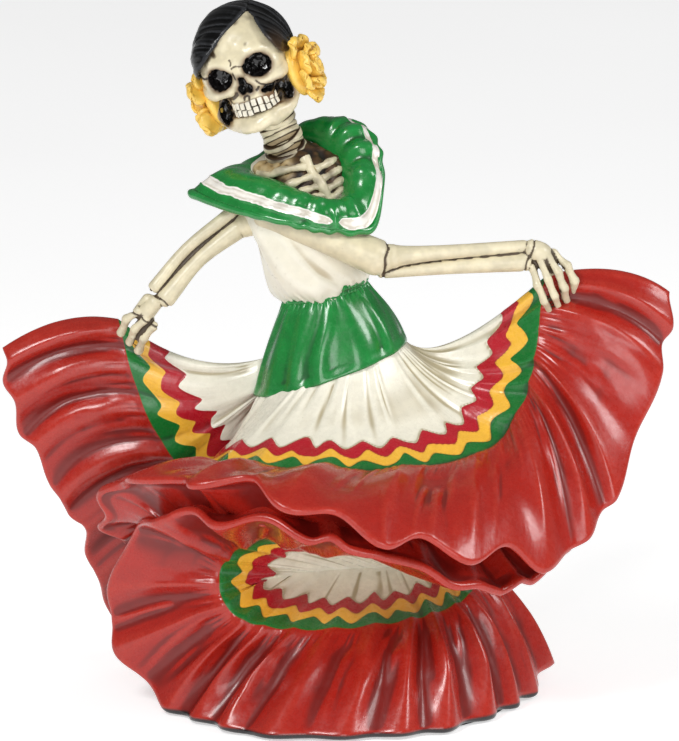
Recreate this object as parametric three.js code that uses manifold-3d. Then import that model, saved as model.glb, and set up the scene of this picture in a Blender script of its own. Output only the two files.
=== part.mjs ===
// A skeleton lady dancing in a wide ruffled skirt, cast in resin as one piece and painted by hand.
// Lengths are millimetres, +Z is up and the figure faces -Y. Its pose is drawn about 190 mm tall, then scaled
// to HEIGHT and set with the middle of its outline over the origin, on the surface that it stands on.
import * as THREE from "three";
import { mergeVertices } from "three/addons/utils/BufferGeometryUtils.js";
import Module from "manifold-3d";

const HEIGHT = 190; // floor to the crown of the hair
const CLOTH_EDGE = 2.4; // thickness of the cast cloth along a hem
const COLLAR_EDGE = 2.2; // thickness of the shoulder ruffle along its edge
const HEM_LIFT = 0.7; // how far the lowest hem hovers over the surface beside the foot
const FOLD_DEPTH = 1.9; // depth of the ruffle's folds at a hem
const PLEAT_DEPTH = 0.9; // depth of the green hip yoke's pleats
const COLLAR_FOLD_DEPTH = 0.6;
const FINGER_RADIUS = 1.15;

const { Vector3, Matrix4 } = THREE;
const wasm = await Module();
wasm.setup();
const at = (x, y, z) => new Vector3(x, y, z);
const degrees = THREE.MathUtils.degToRad;
const lerp = THREE.MathUtils.lerp;
const smooth = THREE.MathUtils.smoothstep;

// A smooth line through points, read by a share from 0 to 1 of its stations.
function line(points) {
  const curve = new THREE.CatmullRomCurve3(
    points.map((p) => at(...p)),
    false,
    "catmullrom",
    0.5,
  );
  return (share) => curve.getPoint(THREE.MathUtils.clamp(share, 0, 1));
}

// A closed manifold solid from a list of corners and a list of triangles.
function solid(corners, triangles) {
  const geometry = new THREE.BufferGeometry().setFromPoints(corners);
  geometry.setIndex(triangles);
  return solidOf(geometry);
}

// A closed manifold solid from a three.js geometry.
function solidOf(geometry) {
  const bare = geometry.clone();
  bare.deleteAttribute("normal");
  bare.deleteAttribute("uv");
  const merged = mergeVertices(bare, 1e-3);
  return new wasm.Manifold(
    new wasm.Mesh({
      numProp: 3,
      vertProperties: merged.attributes.position.array,
      triVerts: new Uint32Array(merged.index.array),
    }),
  );
}

// The three.js geometry of a solid.
function geometryOf(made) {
  const { numProp, vertProperties, triVerts } = made.getMesh();
  const spots = new Float32Array((vertProperties.length / numProp) * 3);
  for (let i = 0; i < spots.length / 3; i++)
    spots.set(vertProperties.subarray(i * numProp, i * numProp + 3), i * 3);
  const geometry = new THREE.BufferGeometry();
  geometry.setAttribute("position", new THREE.BufferAttribute(spots, 3));
  geometry.setIndex(new THREE.BufferAttribute(triVerts, 1));
  return geometry;
}

// The solid between two faces of a cloth, each a function of a column and a row share.
function sheetSolid(columns, rows, front, back) {
  const corners = [];
  for (const face of [front, back])
    for (let i = 0; i <= columns; i++)
      for (let j = 0; j <= rows; j++) corners.push(face(i / columns, j / rows));
  const frontAt = (i, j) => i * (rows + 1) + j;
  const backAt = (i, j) => (columns + 1) * (rows + 1) + frontAt(i, j);
  const triangles = [];
  const quad = (a, b, c, d) => triangles.push(a, b, c, a, c, d);
  for (let i = 0; i < columns; i++)
    for (let j = 0; j < rows; j++) {
      quad(frontAt(i, j), frontAt(i + 1, j), frontAt(i + 1, j + 1), frontAt(i, j + 1));
      quad(backAt(i, j), backAt(i, j + 1), backAt(i + 1, j + 1), backAt(i + 1, j));
    }
  for (let i = 0; i < columns; i++) {
    quad(frontAt(i, rows), frontAt(i + 1, rows), backAt(i + 1, rows), backAt(i, rows));
    quad(frontAt(i + 1, 0), frontAt(i, 0), backAt(i, 0), backAt(i + 1, 0));
  }
  for (let j = 0; j < rows; j++) {
    quad(frontAt(0, j), frontAt(0, j + 1), backAt(0, j + 1), backAt(0, j));
    quad(frontAt(columns, j + 1), frontAt(columns, j), backAt(columns, j), backAt(columns, j + 1));
  }
  return facingOut(corners, triangles);
}

// The solid inside a stack of closed rings, each a function of the share of a turn.
function ringSolid(rings, sides) {
  const corners = [];
  const triangles = [];
  rings.forEach((ring) => {
    for (let k = 0; k < sides; k++) corners.push(ring(k / sides));
  });
  const corner = (i, k) => i * sides + (k % sides);
  for (let i = 0; i + 1 < rings.length; i++)
    for (let k = 0; k < sides; k++) {
      triangles.push(corner(i, k), corner(i, k + 1), corner(i + 1, k + 1));
      triangles.push(corner(i, k), corner(i + 1, k + 1), corner(i + 1, k));
    }
  for (const [i, turned] of [[0, true], [rings.length - 1, false]]) {
    const middle = at(0, 0, 0);
    for (let k = 0; k < sides; k++) middle.addScaledVector(corners[corner(i, k)], 1 / sides);
    corners.push(middle);
    for (let k = 0; k < sides; k++) {
      const [a, b] = turned ? [k + 1, k] : [k, k + 1];
      triangles.push(corners.length - 1, corner(i, a), corner(i, b));
    }
  }
  return facingOut(corners, triangles);
}

// The solid of these triangles, turned round if they face inwards.
function facingOut(corners, triangles) {
  let volume = 0;
  for (let i = 0; i < triangles.length; i += 3) {
    const [a, b, c] = [0, 1, 2].map((k) => corners[triangles[i + k]]);
    volume += a.dot(b.clone().cross(c));
  }
  return solid(corners, volume < 0 ? triangles.toReversed() : triangles);
}

// An ellipse standing at a height, with the turn's share 0 at +X; lean lifts its +X side.
function ellipse([height, x, y, halfX, halfY, lean = 0]) {
  return (turn) => {
    const angle = turn * 2 * Math.PI;
    const across = halfX * Math.cos(angle);
    return at(x + across, y + halfY * Math.sin(angle), height + lean * across);
  };
}

// A limb or bone: round sections along a smooth line, with a radius for each station.
function limb(points, radii, sides = 6, steps = 4) {
  const path = line(points);
  const radius = line(radii.map((r) => [r, 0, 0]));
  const rings = [];
  for (let i = 0; i <= steps; i++) {
    const share = i / steps;
    const along = path(Math.min(1, share + 0.02)).sub(path(Math.max(0, share - 0.02))).normalize();
    const side = at(0, 1, 0).cross(along).normalize();
    const up = along.clone().cross(side);
    const middle = path(share);
    const r = radius(share).x;
    rings.push((turn) => {
      const angle = turn * 2 * Math.PI;
      return middle
        .clone()
        .addScaledVector(side, r * Math.cos(angle))
        .addScaledVector(up, r * Math.sin(angle));
    });
  }
  return ringSolid(rings, sides);
}

// An ellipsoid whose surface is moved in or out by a share of its radius.
function blob(middle, radii, across = 16, high = 10, share = () => 0, turn = new Matrix4()) {
  const geometry = new THREE.SphereGeometry(1, across, high).rotateX(Math.PI / 2);
  const spots = geometry.getAttribute("position");
  for (let i = 0; i < spots.count; i++) {
    const way = new Vector3().fromBufferAttribute(spots, i);
    way.multiplyScalar(1 + share(way)).multiply(at(...radii));
    spots.setXYZ(i, ...way.applyMatrix4(turn).add(at(...middle)));
  }
  return solidOf(geometry);
}

// Evenly spaced pleats, from -1 to 1, some shallower than others.
function pleat(share, count, seed) {
  const strength = 0.8 + 0.2 * Math.sin(2.3 * count * share + seed);
  return strength * Math.cos(2 * Math.PI * count * share);
}

// The skirt's folds are listed as ridges and valleys in turn: each one's share along the hem, and how far the hem
// hangs past its line there. Column 0 is the first of them, column 1 lies half way to the next, and so on.
function foldAt(folds, column) {
  const [share, hang] = folds[Math.floor(column / 2)];
  const raised = folds[0][1] > folds[1][1] ? 1 : -1;
  if (column % 2 === 0) return { share, hang, fold: column % 4 === 0 ? raised : -raised };
  const [nextShare, nextHang] = folds[Math.floor(column / 2) + 1];
  return { share: (share + nextShare) / 2, hang: (hang + nextHang) / 2, fold: 0 };
}

// One sweep of the skirt. inner, seam and hem are lines, sag and arch bow the cloth between them, and filling
// thickens it towards the body. along and out are shares: out is 0 inside and 1 at the hem. swirl slants the
// folds of the ruffle along the hem, and turnedOver is 1 where the hem is turned over, and its waves with it.
const SEAM_SHARE = 0.48; // where the red ruffle is sewn to the banded cloth
const ROWS = [0, 0.3, SEAM_SHARE, 0.72, 1]; // shares from the body to the hem
const DEPTHS = [0, 0.1, 0.25, 0.95, 0.55]; // the folds' depth in each row, as a share of FOLD_DEPTH
const HANG_TOWARDS = 0.35; // how much of the hang's way lies towards the front or the back
function sweep({ inner, seam, hem, sag, arch, filling, folds, swirl, turnedOver = () => 0 }) {
  function drawn(along, out) {
    const sewn = seam(along);
    if (out < SEAM_SHARE) {
      const part = out / SEAM_SHARE;
      return inner(along).lerp(sewn, part).add(sag(along).multiplyScalar(4 * part * (1 - part)));
    }
    const part = (out - SEAM_SHARE) / (1 - SEAM_SHARE);
    const slant = swirl * part * Math.sin(Math.PI * along);
    return sewn.lerp(hem(along + slant), part).add(arch(along).multiplyScalar(4 * part * (1 - part)));
  }
  const step = 0.01;
  const outwards = (along, out) =>
    drawn(along, Math.min(1, out + step)).sub(drawn(along, Math.max(0, out - step))).normalize();
  const sideways = (along, out) => drawn(Math.min(1, along + step), out).sub(drawn(Math.max(0, along - step), out));
  const columns = 2 * (folds.length - 1);
  function face(side) {
    return (turn, part) => {
      const { share, hang, fold } = foldAt(folds, Math.round(turn * columns));
      const along = share - swirl * Math.sin(Math.PI * share);
      const row = Math.round(part * (ROWS.length - 1));
      const out = ROWS[row];
      const reach = outwards(along, out);
      const facing = sideways(along, out).cross(reach).normalize();
      const thick = side > 0 ? CLOTH_EDGE / 2 : -CLOTH_EDGE / 2 - filling(along, out);
      const down = at(reach.x, HANG_TOWARDS * reach.y, reach.z).lerp(facing, turnedOver(along)).normalize();
      const spot = drawn(along, out)
        .addScaledVector(facing, FOLD_DEPTH * DEPTHS[row] * fold + thick)
        .addScaledVector(down, hang * smooth(out, 0.6, 1));
      spot.z = Math.max(spot.z, HEM_LIFT);
      return spot;
    };
  }
  return sheetSolid(columns, ROWS.length - 1, face(1), face(-1));
}

// The hip yoke's lower edge, and the ring just inside it where the skirt hangs: an angle of 270 is the front.
const HIP = [89.8, -2.3, 0, 19.8, 15.9, 0.36];
function hipAt(angle) {
  const [height, x, y, halfX, halfY, lean] = HIP;
  return ellipse([height + 1.6, x, y, halfX - 2.4, halfY - 2.4, lean])(angle / 360);
}

// The front of the skirt, from the dancer's raised left hand round the front to a curl on the right.
const FRONT_SEAM = line([
  [55, -4, 116], [53, -9, 101.5], [51.5, -13, 92], [48, -18, 82], [39.5, -25, 72.5], [24, -32, 70],
  [8, -36, 69.5], [-7.5, -36, 70], [-22.5, -32, 69.5], [-34, -23, 67], [-35, -14, 61], [-31, -6, 53],
]);
const FRONT_HEM = line([
  [88, -5, 111], [80, -17, 78], [67, -31, 55], [52, -46, 47.5], [33.5, -60, 51], [15, -65, 58],
  [-4.5, -64, 65], [-23.5, -59, 69], [-42, -47, 68.5], [-60, -24, 63], [-63, -14, 50], [-56, -8, 43],
]);
const FRONT_FOLDS = [
  [0, -0.8], [0.02, 1.9], [0.034, 0.3], [0.05, 1.6], [0.103, -0.8], [0.15, 1.6], [0.168, 0.2], [0.198, 1.5],
  [0.222, 0.8], [0.268, 2.8], [0.314, -5.8], [0.366, 0.6], [0.42, -4], [0.474, 3.5], [0.53, -2], [0.583, 2.8],
  [0.658, -5.8], [0.703, 1.4], [0.735, -3.2], [0.776, 1.2], [0.812, -1.6], [0.849, 1.2], [0.888, -1.6],
  [0.925, 1.2], [0.962, -1.2], [1, 0.5],
];
function frontSweep() {
  const raised = (along) => (1 - along) ** 4;
  return sweep({
    inner: (along) => hipAt(190 + 178 * (1 - along ** 1.5)),
    seam: FRONT_SEAM,
    hem: FRONT_HEM,
    sag: (along) => at(-1 - 4 * raised(along), 1.5, -2 - 8 * raised(along)),
    arch: (along) => at(2 * (1 - smooth(along, 0.2, 0.5)), -1, 4 - 2.5 * along),
    filling: (along, out) => {
      const length = smooth(along, 0.25, 0.45) * (1 - smooth(along, 0.85, 1));
      return 12 * length * (1 - smooth(out, 0.7, 1));
    },
    folds: FRONT_FOLDS,
    swirl: -0.02,
  });
}

// The back of the skirt, from the dancer's right hand down the left side and round behind to the right.
const BACK_SEAM = line([
  [-58.5, 4, 102], [-55, 3, 88], [-49.5, 3, 73.5], [-41, 5, 59.5], [-36, 9, 48], [-35, 16, 40],
  [-31, 24, 35], [-18, 32, 32], [0, 35.5, 31], [18, 32, 32], [32, 22, 33], [39, 6, 33],
]);
const BACK_HEM = line([
  [-88, 2, 95], [-86.5, 3, 79], [-80, 5, 65], [-72, 8, 48.5], [-67, 13, 36], [-62, 20, 20],
  [-54, 30, 3], [-32, 40, 1], [0, 44.5, 1], [30, 40, 1], [50, 27, 2], [55, 14, 4],
]);
const BACK_FOLDS = [
  [0, 1.3], [0.021, 0.4], [0.048, 2.1], [0.09, -0.6], [0.138, 2.2], [0.173, -0.2], [0.225, 1.7], [0.25, 0.6],
  [0.274, 0.9], [0.321, -2], [0.369, 1.5], [0.414, 0], [0.455, 1.2], [0.51, -1], [0.57, 1.2], [0.63, -1],
  [0.69, 1.2], [0.75, -1], [0.81, 1.2], [0.875, -1], [0.94, 1.2], [1, -1],
];
function backSweep() {
  return sweep({
    inner: (along) => hipAt(178 - 200 * along ** 2.2).add(at(0, 3, 6.5).multiplyScalar(1 - smooth(along, 0, 0.15))),
    seam: BACK_SEAM,
    hem: BACK_HEM,
    sag: (along) => at(0, 0, -1 - 4.5 * (1 - smooth(along, 0, 0.3))),
    arch: (along) => at(-2 * smooth(along, 0, 0.15), 0, 3).multiplyScalar(1 - 0.5 * smooth(along, 0.2, 0.4)),
    filling: (along, out) => 6 * smooth(along, 0.3, 0.45) * (1 - smooth(out, 0.5, 0.85)),
    folds: BACK_FOLDS,
    swirl: 0.03,
  });
}

// The low sweep: from the right side along the floor in front, up the left side and over as a second hem.
const LOW_SEAM = line([
  [37, 8, 33], [36, -4, 31], [31, -14, 28], [20, -22, 26], [3, -26, 24.5], [-12, -27, 24.5], [-24, -26, 26.5],
  [-30, -24, 31], [-32, -22, 38], [-29, -23, 45], [-20, -25, 50], [-7.5, -27, 51], [10, -26, 49],
  [27, -20, 45], [42, -12, 50],
]);
const LOW_HEM = line([
  [56, 12, 6], [50, -4, 1.5], [43, -19, 1], [27, -40, 1], [1.5, -47.5, 1], [-21, -45, 1], [-34, -33, 1],
  [-46, -18, 2], [-59, -8, 18], [-58, -13, 40], [-47, -33, 60], [-26, -51, 61.5], [1.5, -60, 55],
  [29.5, -55.5, 46], [43, -46.5, 40.5], [54, -37, 43.5], [61, -30, 49],
]);
const LOW_FOLDS = [
  [0, 0.8], [0.03, -0.5], [0.06, 1.2], [0.103, -0.4], [0.146, 1], [0.166, -0.3], [0.186, 1], [0.2, -0.2],
  [0.235, 1], [0.268, -0.3], [0.3, 1.2], [0.325, -0.2], [0.349, 1], [0.39, -0.2], [0.43, 0.8], [0.46, -0.5],
  [0.49, 1.5], [0.515, 0.5], [0.545, 1.5], [0.59, -0.5], [0.625, 2.5], [0.655, 1.8], [0.673, 1.7], [0.705, -1.2],
  [0.754, -1.9], [0.79, -0.6], [0.817, 0.2], [0.845, 0], [0.873, -1], [0.901, -0.5], [0.94, -0.4], [1, 0],
];
const HOLLOW_RIGHT = at(37, 4, 36); // the ends of the hollow's deepest line
const HOLLOW_LEFT = at(-16, -9, 36);
function lowSweep() {
  return sweep({
    inner: (along) => HOLLOW_RIGHT.clone().lerp(HOLLOW_LEFT, 1 - Math.abs(1 - 2 * along)),
    seam: LOW_SEAM,
    hem: LOW_HEM,
    sag: () => at(0, 2, 0),
    arch: (along) => at(1.5, 0, 2).multiplyScalar(1 - smooth(along, 0.15, 0.4)),
    filling: (along, out) =>
      lerp(6 * (1 - smooth(out, 0.3, 0.8)), 9 * (1 - smooth(out, 0.75, 1)), smooth(along, 0.58, 0.64)),
    folds: LOW_FOLDS,
    swirl: -0.01,
    turnedOver: (along) => smooth(along, 0.56, 0.62),
  });
}

// The mass inside the skirt, with the flat foot that it stands on. Each row is height, x, y, half x, half y.
const CORE = [
  [0, 1, -1, 45, 42], [6, 1, 0, 43, 39], [15, 1, 3, 36, 33], [24, 0, 8, 30, 26], [31, 0, 15, 27, 17],
  [43, 0, 14, 25, 17], [52, 0, 2, 25, 26], [62, 0, -4, 22, 27], [76, -1, -1, 19, 17], [94, -2, 0, 13, 10],
];
function core() {
  return ringSolid(CORE.map(ellipse), 16);
}

// The green hip yoke, pleated from the waistband down.
const WAIST = [111.4, -3.7, 0, 10.6, 8.8, 0.23];
function yoke() {
  const rings = [];
  const steps = 3;
  const pleats = 13;
  for (let i = 0; i <= steps; i++) {
    const down = i / steps;
    const flare = 1 - (1 - down) ** 1.4;
    const row = WAIST.map((value, k) => lerp(value, HIP[k], k === 0 ? down : flare));
    rings.push((turn) => {
      const spot = ellipse(row)(turn);
      const out = at(Math.cos(turn * 2 * Math.PI), Math.sin(turn * 2 * Math.PI), 0);
      return spot.addScaledVector(out, PLEAT_DEPTH * down * pleat(turn, pleats, 0.6));
    });
  }
  return ringSolid(rings.reverse(), 3 * pleats);
}
function waistband() {
  const [height, x, y, halfX, halfY, lean] = WAIST;
  return ringSolid(
    [-1.2, 0, 1.2].map((rise) => ellipse([height + rise, x, y, halfX + 0.7, halfY + 0.7, lean])),
    16,
  );
}

// The white blouse, from the waist to the chest, and the ribs that show in its neckline.
const BLOUSE = [
  [109.5, -4, 0, 10, 8.4, 0.23], [113, -5.4, -0.4, 12.8, 10.4, 0.18], [118, -7.6, -1, 12.8, 10.6, 0.1],
  [124, -9.6, -1.5, 12.4, 10.6, 0.05], [131, -11.4, -1.5, 13.2, 10.4, 0], [138, -12, -1, 13.6, 9.6, 0],
];
function blouse() {
  return ringSolid(BLOUSE.map(ellipse), 14);
}
const RIBCAGE = [-9, -0.6, 135.5];
const RIBCAGE_HALF = [12.5, 11.2, 15];
const RIB_ROWS = 5;
function ribcage() {
  const ridge = (way) => {
    const beside = smooth(Math.abs(way.x), 0.1, 0.25);
    return 0.05 * beside * Math.cos((way.z * RIB_ROWS + Math.abs(way.x)) * 2 * Math.PI);
  };
  return blob(RIBCAGE, RIBCAGE_HALF, 12, 14, ridge, new Matrix4().makeRotationY(degrees(-12)));
}
const NECK = [[-13, 1, 146], [-15.5, 0, 152], [-18.5, 0, 162]];
const VERTEBRAE = 5;
function neck() {
  const path = line(NECK);
  const rings = [];
  const steps = 2 * VERTEBRAE;
  for (let i = 0; i <= steps; i++) {
    const middle = path(i / steps);
    const radius = 4.9 + (i % 2 ? 0.5 : -0.4) + 1.2 * (1 - i / steps) ** 3;
    rings.push(ellipse([middle.z, middle.x, middle.y, radius, radius, 0.36]));
  }
  return ringSolid(rings, 8);
}

// The green ruffle off the shoulders: a closed band from the neckline out to its edge.
const NECKLINE = [
  [-21.5, 0, 141], [-14.5, -8.5, 140.5], [-7.5, -12, 137.8], [-1.5, -11.5, 136.2], [1.7, -7, 138.8],
  [0.4, 0, 144.2], [-5, 6, 148], [-11.5, 9.5, 147], [-18, 7.5, 143],
];
const RUFFLE_EDGE = [
  [-40, -2, 137], [-29.5, -10.5, 134.5], [-16.5, -17, 132.5], [-2, -18.5, 130], [10, -14, 131],
  [11.5, -3, 148], [4.5, 7.5, 155], [-8, 13, 150.5], [-20, 15, 138], [-33, 8, 134.5],
];
function collar() {
  const around = (points) => {
    const curve = new THREE.CatmullRomCurve3(points.map((p) => at(...p)), true, "catmullrom", 0.5);
    return (share) => curve.getPoint(share % 1);
  };
  const [neckline, edge] = [around(NECKLINE), around(RUFFLE_EDGE)];
  const [turns, steps, count] = [40, 3, 10];
  const drawn = (turn, out) => {
    const spot = neckline(turn).lerp(edge(turn), out);
    const rise = 3.6 * Math.sin(Math.PI * Math.min(1, out * 1.15));
    return spot.add(at(0, -0.35 * rise, rise));
  };
  const rings = [];
  const lines = [];
  for (let j = 0; j <= steps; j++) lines.push([j / steps, COLLAR_EDGE / 2]);
  for (let j = steps; j >= 0; j--) lines.push([j / steps, -COLLAR_EDGE / 2]);
  for (let i = 0; i < turns; i++) {
    const turn = i / turns;
    rings.push(
      lines.map(([out, half]) => {
        const right = drawn(turn + 0.01, out).sub(drawn(turn + 0.99, out));
        const outwards = drawn(turn, Math.min(1, out + 0.01)).sub(drawn(turn, Math.max(0, out - 0.01)));
        const way = right.cross(outwards).normalize();
        const fold = COLLAR_FOLD_DEPTH * smooth(out, 0.1, 1) * pleat(turn, count, 1.7);
        return drawn(turn, out).addScaledVector(way, half + fold);
      }),
    );
  }
  const corners = rings.flat();
  const corner = (i, k) => (i % turns) * lines.length + (k % lines.length);
  const triangles = [];
  for (let i = 0; i < turns; i++)
    for (let k = 0; k < lines.length; k++) {
      triangles.push(corner(i, k), corner(i + 1, k), corner(i + 1, k + 1));
      triangles.push(corner(i, k), corner(i + 1, k + 1), corner(i, k + 1));
    }
  return facingOut(corners, triangles);
}

// The arms. Each bone's line goes from the elbow to the wrist, and its radii swell at the joints.
function leftArm() {
  return [
    limb([[-20, -8, 132], [-5, -12, 128.5], [11.5, -13, 122.2]], [2.5, 4.4, 5], 8, 4),
    limb([[9.5, -13, 122.3], [28.5, -12.5, 123.5], [49.5, -11, 125.3]], [3.8, 1.8, 1.5]),
    limb([[8.5, -12, 118], [28.5, -12, 120], [49.5, -11, 121.4]], [1.4, 1.8, 2.6]),
  ];
}
function rightArm() {
  return [
    limb([[-13, -2, 132], [-20, -3, 131], [-26, -3, 128.8]], [4.2, 4.2, 3.4], 8, 3),
    limb([[-28.5, -3, 132.5], [-40, -6, 123.5], [-49.5, -9, 113]], [1.8, 1.4, 1.5]),
    limb([[-25, -3, 128.8], [-36.8, -6, 120.4], [-46, -9, 110]], [3, 1.9, 2.7]),
  ];
}

// The hands grip the skirt: a wrist and palm, and fingers spread evenly between the first and the last.
const LEFT_FINGERS = [
  [[50.9, -11, 118.3], [51.7, -12.5, 113.8], [54.9, -11.5, 108.9], [57, -8, 107]],
  [[56.4, -9, 122], [59.4, -10, 118.3], [61.5, -9.5, 114.2], [61.5, -6, 110]],
];
const RIGHT_FINGERS = [
  [[-53, -9, 107], [-56, -7, 104.5], [-57.5, -3, 100]],
  [[-49, -9, 103], [-51.5, -7, 99.5], [-53, -2, 95]],
];
function fingers([first, last], count) {
  return Array.from({ length: count }, (_, k) => {
    const share = k / (count - 1);
    const joints = first.map((joint, i) => joint.map((value, axis) => lerp(value, last[i][axis], share)));
    return limb(joints, joints.map((_, i) => FINGER_RADIUS * (1.3 - 0.1 * i)), 5, joints.length);
  });
}
function leftHand() {
  const palm = limb([[49.5, -11, 123], [53, -10.5, 122.3], [55.5, -9, 118]], [3.2, 3.4, 3.2], 8, 4);
  return [palm, ...fingers(LEFT_FINGERS, 4)];
}
function rightHand() {
  const palm = limb([[-47, -9, 111.5], [-50.9, -8, 106.2], [-54, -4, 100]], [3, 3.8, 3], 8, 4);
  return [palm, ...fingers(RIGHT_FINGERS, 3)];
}

// The head in its own frame: its middle is the cranium's, and it faces -Y.
const HEAD = new Matrix4()
  .makeRotationFromEuler(new THREE.Euler(0, degrees(-21), degrees(-12), "YZX"))
  .setPosition(-25, -3, 175.2);
const EYES = [[-5.6, -11.2, -2.6], [5.6, -11.4, -1.7]];
const EYE_RADIUS = 3.6;
function head() {
  const cranium = blob([0, 0.5, 0.5], [12.2, 13, 13], 12, 8);
  const face = blob([0.4, -4.2, -6.6], [10.8, 8.9, 11.4], 14, 8);
  const jaw = blob([0.4, -5.2, -13.4], [9.6, 7, 5.4], 12, 6);
  const cheekbones = [-1, 1].map((side) => blob([8.2 * side, -7.6, -5.8], [3.8, 4.2, 1.9], 6, 4));
  const gaps = (way) => 0.05 * Math.hypot(way.x, way.y) * Math.cos(12 * Math.atan2(way.x, -way.y));
  const teeth = blob([0, -8.2, -12.2], [6.4, 5.2, 2.8], 24, 4, gaps);
  const bone = union([cranium, face, jaw, ...cheekbones]);
  const cuts = [
    ...EYES.map((eye) => blob(eye, [EYE_RADIUS, 3, EYE_RADIUS], 8, 6)),
    ...[-1, 1].map((side) => blob([10.6 * side, -8.4, -10.8], [2.4, 4.4, 3.4], 6, 4)),
    solidOf(new THREE.ConeGeometry(1.7, 4, 5).rotateX(degrees(-12)).translate(0.3, -13, -6.4)),
  ];
  const roses = [LEFT_ROSE, RIGHT_ROSE].map(rose);
  const upright = union([bone.subtract(union(cuts)), teeth, hair(), ...roses]);
  return solidOf(geometryOf(upright).applyMatrix4(HEAD));
}
// The hair is combed down from a parting on the dancer's left into a knot at the nape.
const HAIRLINE = [
  [5.8, 11.3], [-0.4, 8.2], [-6, 4.2], [-11, 0.2], [-13, -3.6], [-16, -5], [-16, -30], [16, -30], [16, -6.4],
  [13, -5.4], [12, -1.6], [9.8, 5.4],
];
function hair() {
  const cap = blob([0, 0.9, 0.9], [13.3, 14, 13.4], 16, 9);
  const window = new THREE.ExtrudeGeometry(
    new THREE.Shape(HAIRLINE.map(([x, z]) => new THREE.Vector2(x, z))),
    { depth: 20, bevelEnabled: false },
  )
    .rotateX(Math.PI / 2)
    .translate(0, -2, 0);
  const strands = (way) => 0.06 * Math.hypot(way.x, way.y) * Math.cos(7 * Math.atan2(way.y, way.x));
  const knot = blob([0, 13.5, -5], [7.5, 6.5, 5.5], 14, 5, strands, new Matrix4().makeRotationX(degrees(90)));
  return cap.subtract(solidOf(window)).add(knot);
}
// A yellow rose lies over each ear, its petals in ruffled whorls.
const ROSE_RADIUS = 9.6;
const LEFT_ROSE = [14.6, 0.5, -6.6];
const RIGHT_ROSE = [-14.4, 1.5, -10];
function rose(spot) {
  const petals = (way) => {
    const angle = Math.atan2(way.y, way.x);
    const rim = Math.hypot(way.x, way.y);
    return 0.1 * rim ** 2 * Math.cos(5 * angle) + 0.08 * rim * Math.cos(9 * rim + 2 * angle);
  };
  const outwards = new Matrix4().makeRotationY(degrees(90 * Math.sign(spot[0])));
  return blob(spot, [ROSE_RADIUS, ROSE_RADIUS * 0.85, 4.6], 15, 6, petals, outwards);
}

function union(solids) {
  return solids.reduce((sum, next) => sum.add(next));
}

// Everything is one casting: only the outer skin of the joined forms is kept, filled solid.
function casting() {
  const joined = union([
    core(), backSweep(), lowSweep(), frontSweep(), yoke(), waistband(), blouse(), ribcage(), neck(), collar(),
    ...leftArm(), ...leftHand(), ...rightArm(), ...rightHand(), head(),
  ]);
  const skins = joined.decompose().sort((a, b) => b.volume() - a.volume());
  return skins[0];
}

const paintedResin = new THREE.MeshStandardMaterial({ color: 0xa9302a, roughness: 0.4, metalness: 0 });
const figure = new THREE.Mesh(geometryOf(casting()), paintedResin);
figure.name = "dancing_skeleton";
figure.geometry.computeVertexNormals();
const drawn = new THREE.Box3().setFromObject(figure);
figure.scale.setScalar(HEIGHT / (drawn.max.z - drawn.min.z));
const extent = new THREE.Box3().setFromObject(figure);
const middle = extent.getCenter(at(0, 0, 0));
figure.position.set(-middle.x, -middle.y, -extent.min.z);

const part = new THREE.Group();
part.add(figure);
export default part;
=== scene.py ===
"""The dressed figure: a skeleton lady who swings her wide ruffled skirt, cast in resin and painted by hand.

Every form is drawn in millimetres, in the pose's own space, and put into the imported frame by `in_frame`.
Each sub-assembly is a class that holds its sizes, builds its closed meshes and dresses them with a painted finish.
"""

import itertools
import logging
import math
from collections.abc import Callable, Iterable, Sequence
from dataclasses import dataclass, field
from enum import Enum

import bpy
import numpy as np
from mathutils import Matrix, Vector


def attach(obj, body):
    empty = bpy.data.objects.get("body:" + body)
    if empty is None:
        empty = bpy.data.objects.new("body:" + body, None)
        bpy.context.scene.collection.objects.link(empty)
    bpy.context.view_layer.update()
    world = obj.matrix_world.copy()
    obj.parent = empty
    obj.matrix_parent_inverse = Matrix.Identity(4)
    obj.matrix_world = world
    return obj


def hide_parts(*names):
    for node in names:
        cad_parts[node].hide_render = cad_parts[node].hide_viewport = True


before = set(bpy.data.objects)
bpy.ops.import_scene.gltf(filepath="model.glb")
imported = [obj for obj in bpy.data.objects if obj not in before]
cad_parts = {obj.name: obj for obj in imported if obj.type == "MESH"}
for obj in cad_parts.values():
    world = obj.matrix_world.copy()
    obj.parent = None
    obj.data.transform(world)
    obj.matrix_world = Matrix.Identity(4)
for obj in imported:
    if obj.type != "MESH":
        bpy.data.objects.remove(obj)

Array = np.ndarray
Path = Callable[[Array], Array]
Material, Mesh, Object = bpy.types.Material, bpy.types.Mesh, bpy.types.Object
Node, Socket = bpy.types.Node, bpy.types.NodeSocket
Spot = tuple[float, float, float]
Stations = Sequence[Sequence[float]]

NODE = "dancing_skeleton"
BODY = "root"
MM = 0.001
TURN = 2 * math.pi
GOLDEN_TURN = 2.39996  # the turn from one petal to the next, in radians
FIGURE_SCALE = 1.0027839  # drawn millimetres to the figure's own
FIGURE_PLACE = np.array([0.5048, 11.0836, 0.0])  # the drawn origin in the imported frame, in millimetres
SEAM_SHARE = 0.48  # where the red ruffle is sewn to the banded cloth

log = logging.getLogger("dancer")


class Slot(Enum):
    """The record's material slots."""

    SKIRT = "skirt_paint"
    BONE = "bone_paint"
    HAIR = "hair_paint"
    ROSE = "rose_paint"
    RESIN = "painted_resin"


# Numbers and lines


def in_frame(points: Array) -> Array:
    """Puts drawn points, in millimetres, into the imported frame, in metres."""
    return (np.asarray(points) * FIGURE_SCALE + FIGURE_PLACE) * MM


def smooth(value: Array, low: float, high: float) -> Array:
    """Rises smoothly from 0 at low to 1 at high."""
    share = np.clip((np.asarray(value, float) - low) / (high - low), 0, 1)
    return share * share * (3 - 2 * share)


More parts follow.
